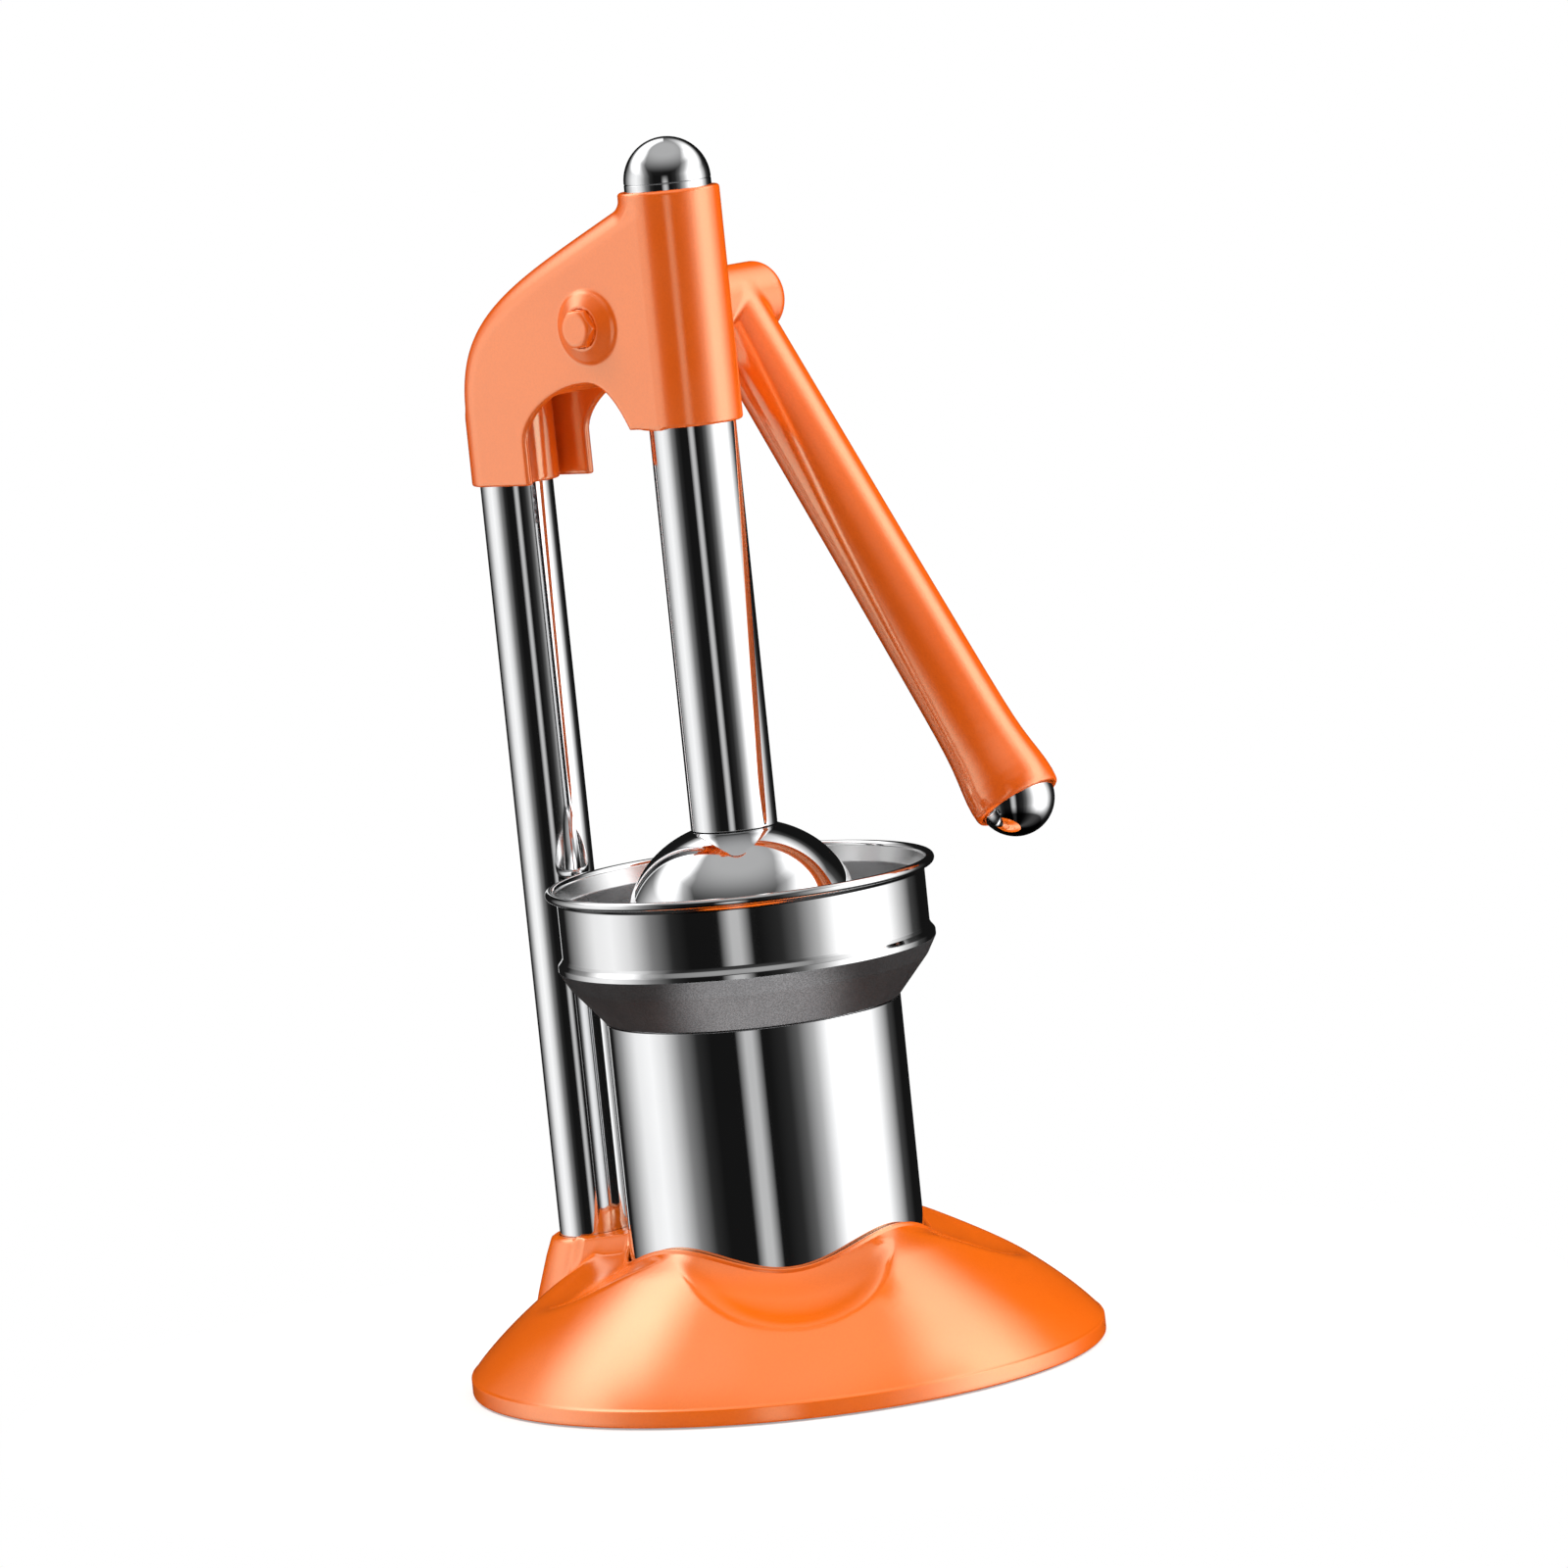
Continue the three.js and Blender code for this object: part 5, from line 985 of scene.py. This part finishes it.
# ---------------- column
COLUMN_LOW, COLUMN_TOP = COLUMN[0][2], COLUMN[1][2]
TAPPED_R, TAPPED_DEPTH = 3.2, 15
v, f = revolve(rounded([
    (0, COLUMN_LOW + TAPPED_DEPTH), (TAPPED_R, COLUMN_LOW + TAPPED_DEPTH),
    (TAPPED_R, COLUMN_LOW, 0.2), (COLUMN_R, COLUMN_LOW, 0.8), (COLUMN_R, COLUMN_TOP, 0.8),
    (0, COLUMN_TOP)], closed=False), 192)
post = build("column_polished", moved(v, 0, COLUMN_Y), f, "frame", CHROME_POST,
             ["column"])
v, f = rod(GRUB_R, HEAD[1][1] - 4.2, HEAD[1][1], 48)
for height in GRUB_HEIGHTS:
    cut(post, along_y(v, 0, HEAD_LOW + height), f)

# ---------------- cup
CUP_R, CUP_LOW, CUP_TOP = CUP[1][0], CUP[0][2], CUP[1][2]
CUP_WALL = 1.0
cup_path = rounded([
    (0, CUP_LOW + 1.5), (35.5, CUP_LOW + 1.5, 1.2), (37.1, CUP_LOW, 0.7), (42.2, CUP_LOW, 1.6),
    (CUP_R, CUP_LOW + 2.5, 2.0), (CUP_R, CUP_TOP, 0.35), (CUP_R - CUP_WALL, CUP_TOP, 0.35),
    (CUP_R - CUP_WALL, CUP_LOW + 3.1, 1.6), (41.6, CUP_LOW + 1.2, 0.8), (37.6, CUP_LOW + 1.2, 0.7),
    (36.1, CUP_LOW + 2.7, 0.9), (0, CUP_LOW + 2.7)], closed=False)
v, f = revolve(cup_path, 256)
build("cup_polished", v, f, "cup", CHROME, ["juice_cup"])

# ---------------- bowl
BZ = CUP_TOP + GAP
SPIGOT = CUP_R - 1.5
SPIGOT_DEPTH, BOWL_WALL = 9.5, 1.2
RIM_Z = BZ + 39.8
ROLL_AT, ROLL_R = 57.2, 1.35
BAND_R, BEAD_R = 55.3, 56.8
CONE_TOP = BZ + 17.3
BOWL_STEPS = 256
bowl_outer = rounded([
    (SPIGOT - BOWL_WALL, BZ - SPIGOT_DEPTH, 0.3), (SPIGOT, BZ - SPIGOT_DEPTH, 0.3),
    (SPIGOT, BZ, 0.2),
    (CUP_R, BZ, 0.5), (54.0, BZ + 11.5, 6.0), (56.15, BZ + 15.4, 0.8),
    (BEAD_R, BZ + 16.6, 0.8), (BEAD_R, BZ + 18.2, 0.8), (55.75, BZ + 19.6, 0.6),
    (BAND_R, BZ + 20.6, 0.8), (BAND_R, BZ + 37.2, 0.8), (56.25, BZ + 38.6, 0.2)], closed=False)
roll = [(ROLL_AT + ROLL_R * math.cos(a), RIM_Z + ROLL_R * math.sin(a))
        for a in (math.radians(degrees) for degrees in range(-120, 181, 15))]
bowl_inner = rounded([
    (55.85, RIM_Z - 0.2, 0.2), (54.3, BZ + 35.2, 3.0), (54.1, BZ + 23.0, 1.5),
    (55.5, BZ + 17.4, 2.0), (52.9, BZ + 12.3, 4.0), (44.0, BZ + 1.2, 1.0),
    (SPIGOT - BOWL_WALL, BZ + 1.2, 0.4), (SPIGOT - BOWL_WALL, BZ - SPIGOT_DEPTH)], closed=False)
bowl_path = bowl_outer + roll + bowl_inner[:-1]
v, f = revolve(bowl_path, BOWL_STEPS)
# looks of the bowl's rows of faces: 0 polished, 1 the matte cone outside, its near-black colour
# painted shade, 2 the satin inside
marks = []
for k, (here, following) in enumerate(zip(bowl_path, bowl_path[1:] + bowl_path[:1])):
    if k < len(bowl_outer):
        look = 1 if here[1] >= BZ - 0.01 and following[1] < CONE_TOP else 0
    else:
        look = 2 if k >= len(bowl_outer) + len(roll) - 1 else 0
    marks += [look] * BOWL_STEPS
build("bowl_spun", v, f, "bowl", [STEEL_BAND, STEEL_CONE_SHADED, STEEL_SATIN], ["bowl"],
      marks=marks)

# ---------------- hardware from the CAD
LOOKS = {"plain_steel": STEEL_PART, "nylon": NYLON, "rubber": RUBBER, "dark_plate": DARK,
         "chrome": CHROME, "brushed_steel": STEEL_BAND, "orange_paint": ORANGE}
for part in frame["record"]["subparts"]:
    obj = frame["nodes"][part["node"]]
    if obj.hide_render:
        continue
    obj.data.materials.clear()
    obj.data.materials.append(LOOKS[part["material_slot"]])

# ---------------- stage
AZIMUTH, ELEVATION, ROLL = (math.radians(a) for a in (-49.4, 6.94, -5.89))
DISTANCE = 2.559
FOCAL, SENSOR = 196.65, 36
AIM_Z, AIM_RIGHT = 0.1742, 0.01607
back = Vector((math.sin(AZIMUTH) * math.cos(ELEVATION), -math.cos(AZIMUTH) * math.cos(ELEVATION),
               math.sin(ELEVATION)))
right = Vector((math.cos(AZIMUTH), math.sin(AZIMUTH), 0))
up = back.cross(right)
target = Vector((0, 0, AIM_Z)) + right * AIM_RIGHT
turned_right = right * math.cos(ROLL) + up * math.sin(ROLL)
turned_up = up * math.cos(ROLL) - right * math.sin(ROLL)
camera_data = bpy.data.cameras.new("camera")
camera_data.lens = FOCAL
camera_data.sensor_width = SENSOR
camera_data.clip_start, camera_data.clip_end = 0.05, 60
camera = put("camera", camera_data)
camera.matrix_world = Matrix((
    (turned_right.x, turned_up.x, back.x, 0), (turned_right.y, turned_up.y, back.y, 0),
    (turned_right.z, turned_up.z, back.z, 0), (0, 0, 0, 1)))
camera.location = target + back * DISTANCE
bpy.context.scene.camera = camera


def stage_mesh(name, verts, faces, look):
    mesh = bpy.data.meshes.new(name)
    mesh.from_pydata(verts, [], faces)
    mesh.materials.append(look)
    mesh.polygons.foreach_set("use_smooth", [True] * len(mesh.polygons))
    obj = put(name, mesh)
    return obj


def floor_material():
    """Pale floor that turns to plain white away from the object, and keeps the shadow near it."""
    m, tree, s = new_material("floor")
    s.inputs["Base Color"].default_value = (0.96, 0.96, 0.96, 1)
    s.inputs["Roughness"].default_value = 0.9
    s.inputs["Specular IOR Level"].default_value = 0.1
    out = tree.nodes["Material Output"]
    place = node(tree, "ShaderNodeTexCoord")
    length = node(tree, "ShaderNodeVectorMath", operation="LENGTH")
    tree.links.new(place.outputs["Object"], length.inputs[0])
    far = spread(tree, length.outputs["Value"], 0.35, 1.0, 0.105, 0.24)
    ray = node(tree, "ShaderNodeLightPath")
    seen = math_node(tree, "MAXIMUM", ray.outputs["Is Camera Ray"], ray.outputs["Is Glossy Ray"])
    share = math_node(tree, "MULTIPLY", far, seen)
    glow = node(tree, "ShaderNodeEmission", Color=(1, 1, 1, 1), Strength=1.0)
    both = node(tree, "ShaderNodeMixShader")
    tree.links.new(share, both.inputs[0])
    tree.links.new(s.outputs[0], both.inputs[1])
    tree.links.new(glow.outputs[0], both.inputs[2])
    tree.links.new(both.outputs[0], out.inputs["Surface"])
    return m


FLOOR_HALF = 8
floor = stage_mesh("floor", [(x * FLOOR_HALF, y * FLOOR_HALF, 0)
                             for x, y in ((-1, -1), (1, -1), (1, 1), (-1, 1))],
                   [(0, 1, 2, 3)], floor_material())
floor.visible_glossy = False


def tent_material():
    """Soft boxes and dark cards of a light tent, as brightness by direction round the object."""
    m = bpy.data.materials.new("tent")
    m.use_nodes = True
    tree = m.node_tree
    tree.nodes.clear()
    out = node(tree, "ShaderNodeOutputMaterial")
    place = node(tree, "ShaderNodeTexCoord")
    unit = node(tree, "ShaderNodeVectorMath", operation="NORMALIZE")
    tree.links.new(place.outputs["Object"], unit.inputs[0])
    axes = node(tree, "ShaderNodeSeparateXYZ")
    tree.links.new(unit.outputs["Vector"], axes.inputs[0])
    angle = math_node(tree, "ARCTAN2", axes.outputs["Y"], axes.outputs["X"])
    rise = math_node(tree, "ARCSINE", axes.outputs["Z"])
    rise = math_node(tree, "MULTIPLY", rise, 180 / math.pi)
    wider = spread(tree, rise, 1.0, 0.69, 24, 46)
    share = spread(tree, math_node(tree, "MULTIPLY", angle, wider), 0.0, 1.0, -math.pi, math.pi)
    ramp = node(tree, "ShaderNodeValToRGB")
    ramp.color_ramp.interpolation = "LINEAR"
    elements = ramp.color_ramp.elements
    for k, (degrees, value) in enumerate(TENT_STOPS):
        place_at = (degrees + 180) / 360
        e = elements[k] if k < 2 else elements.new(place_at)
        e.position = place_at
        e.color = (value, value, value, 1)
    tree.links.new(share, ramp.inputs["Fac"])
    # narrow tube lamp low in front
    off = math_node(tree, "ABSOLUTE", math_node(tree, "SUBTRACT", angle, math.radians(LINE_AT)))
    line = spread(tree, off, LINE_LEVEL, 0.0, math.radians(2.5), math.radians(10))
    line = math_node(tree, "MULTIPLY", line, spread(tree, rise, 1.0, 0.0, 8, 26))
    # the left box grows brighter with height, the right one fainter
    gain = math_node(tree, "MULTIPLY", spread(tree, angle, 1.5, -0.12, -0.4, 0.4),
                     spread(tree, rise, 0.0, 1.0, 24, 46))
    gain = math_node(tree, "MULTIPLY", math_node(tree, "ADD", gain, 1.0), TENT_LEVEL)
    boxes = math_node(tree, "MULTIPLY", ramp.outputs["Color"], gain)
    wall = math_node(tree, "ADD", boxes, line)
    wall = math_node(tree, "MULTIPLY", wall, spread(tree, rise, 1.0, 0.0, 54, 69))
    wall = math_node(tree, "MULTIPLY", wall, spread(tree, rise, 0.03, 1.0, -42, -20))
    roof = spread(tree, rise, 0.0, CEILING, 28, 76, "SMOOTHSTEP")
    level = math_node(tree, "MAXIMUM", wall, roof)
    glow = node(tree, "ShaderNodeEmission")
    tree.links.new(level, glow.inputs["Strength"])
    tree.links.new(glow.outputs[0], out.inputs["Surface"])
    return m


# brightness by direction, in degrees round the tent from the camera's own side
TENT_STOPS = [(-180, 0.004), (-146, 0.006), (-128, 0.17), (-106, 0.47), (-90, 0.53), (-76, 0.41),
              (-60, 0.115), (-46, 0.013), (-35, 0.004), (9, 0.004), (22, 0.012), (32, 0.055),
              (45, 0.25), (58, 0.63), (70, 0.95), (88, 0.9), (98, 0.66), (110, 0.36), (126, 0.03),
              (140, 0.004), (180, 0.004)]
TENT_R, TENT_Z = 1.2, 0.15
TENT_LEVEL = 2.0
LINE_AT, LINE_LEVEL = -5.7, 0.54
CEILING = 0.47
count, half = 96, 48
verts, faces = [], []
for k in range(half + 1):
    lift = math.pi * (k / half - 0.5)
    for i in range(count):
        turn = 2 * math.pi * i / count
        verts.append((TENT_R * math.cos(lift) * math.cos(turn),
                      TENT_R * math.cos(lift) * math.sin(turn),
                      TENT_R * math.sin(lift)))
for k in range(half):
    for i in range(count):
        j = (i + 1) % count
        faces.append((k * count + i, k * count + j, (k + 1) * count + j, (k + 1) * count + i))
tent = stage_mesh("light_tent", verts, faces, tent_material())
# X of the tent looks at the camera, so that its ramp starts from the camera's side
tent.rotation_euler = (0, 0, AZIMUTH - math.pi / 2)
tent.location = (0, 0, TENT_Z)
tent.visible_camera = False
tent.visible_diffuse = False
tent.visible_shadow = False
tent.visible_transmission = False
tent.visible_volume_scatter = False


LAMP_AIM_Z = 0.16


def aim(lamp, at, way, distance):
    """Sets a lamp off a point in some direction and turns it to that point."""
    lamp.location = at + way * distance
    lamp.rotation_mode = "QUATERNION"
    lamp.rotation_quaternion = way.to_track_quat("Z", "Y")
    lamp.visible_glossy = False


def area(name, size, level, azimuth, elevation, distance):
    """A soft lamp aimed at the object; at level 1 a white surface facing it renders white."""
    data = bpy.data.lights.new(name, "AREA")
    data.shape = "DISK"
    data.size = size
    data.energy = level * (math.pi * distance) ** 2
    obj = put(name, data)
    a, e = math.radians(azimuth), math.radians(elevation)
    way = Vector((math.sin(a) * math.cos(e), -math.cos(a) * math.cos(e), math.sin(e)))
    aim(obj, Vector((0, 0, LAMP_AIM_Z)), way, distance)


LAMP_DISTANCE = 1.6
area("left_lamp", 1.0, 0.76, -146, 62, LAMP_DISTANCE)
area("right_lamp", 1.0, 1.02, 46, 36, LAMP_DISTANCE)
area("front_lamp", 1.2, 0.24, -49, 55, LAMP_DISTANCE)
# a narrow lamp beside the camera that lights a patch of the bowl's cone
SPOT_POWER, SPOT_WIDTH, SPOT_BLEND, SPOT_R = 335, 3.3, 0.85, 0.006
SPOT_AIM_Z, SPOT_ASIDE, SPOT_RISE, SPOT_DISTANCE = 0.114, 0.002, 0.03, 1.1
spot_data = bpy.data.lights.new("cone_lamp", "SPOT")
spot_data.energy = SPOT_POWER
spot_data.spot_size = math.radians(SPOT_WIDTH)
spot_data.spot_blend = SPOT_BLEND
spot_data.shadow_soft_size = SPOT_R
spot = put("cone_lamp", spot_data)
spot_way = Vector((math.sin(AZIMUTH), -math.cos(AZIMUTH), SPOT_RISE)).normalized()
spot_side = Vector((math.cos(AZIMUTH), math.sin(AZIMUTH), 0))
aim(spot, Vector((0, 0, SPOT_AIM_Z)) + spot_side * SPOT_ASIDE, spot_way, SPOT_DISTANCE)

world = bpy.data.worlds.new("world")
bpy.context.scene.world = world
world.use_nodes = True
tree = world.node_tree
tree.nodes.clear()
out = node(tree, "ShaderNodeOutputWorld")
ray = node(tree, "ShaderNodeLightPath")
seen = math_node(tree, "MAXIMUM", ray.outputs["Is Camera Ray"],
                 math_node(tree, "MAXIMUM", ray.outputs["Is Glossy Ray"],
                           ray.outputs["Is Transmission Ray"]))
soft = node(tree, "ShaderNodeBackground", Color=(1, 1, 1, 1), Strength=0.40)
white = node(tree, "ShaderNodeBackground", Color=(1, 1, 1, 1), Strength=1.0)
both = node(tree, "ShaderNodeMixShader")
tree.links.new(seen, both.inputs[0])
tree.links.new(soft.outputs[0], both.inputs[1])
tree.links.new(white.outputs[0], both.inputs[2])
tree.links.new(both.outputs[0], out.inputs["Surface"])

bpy.context.scene.view_settings.view_transform = "Standard"
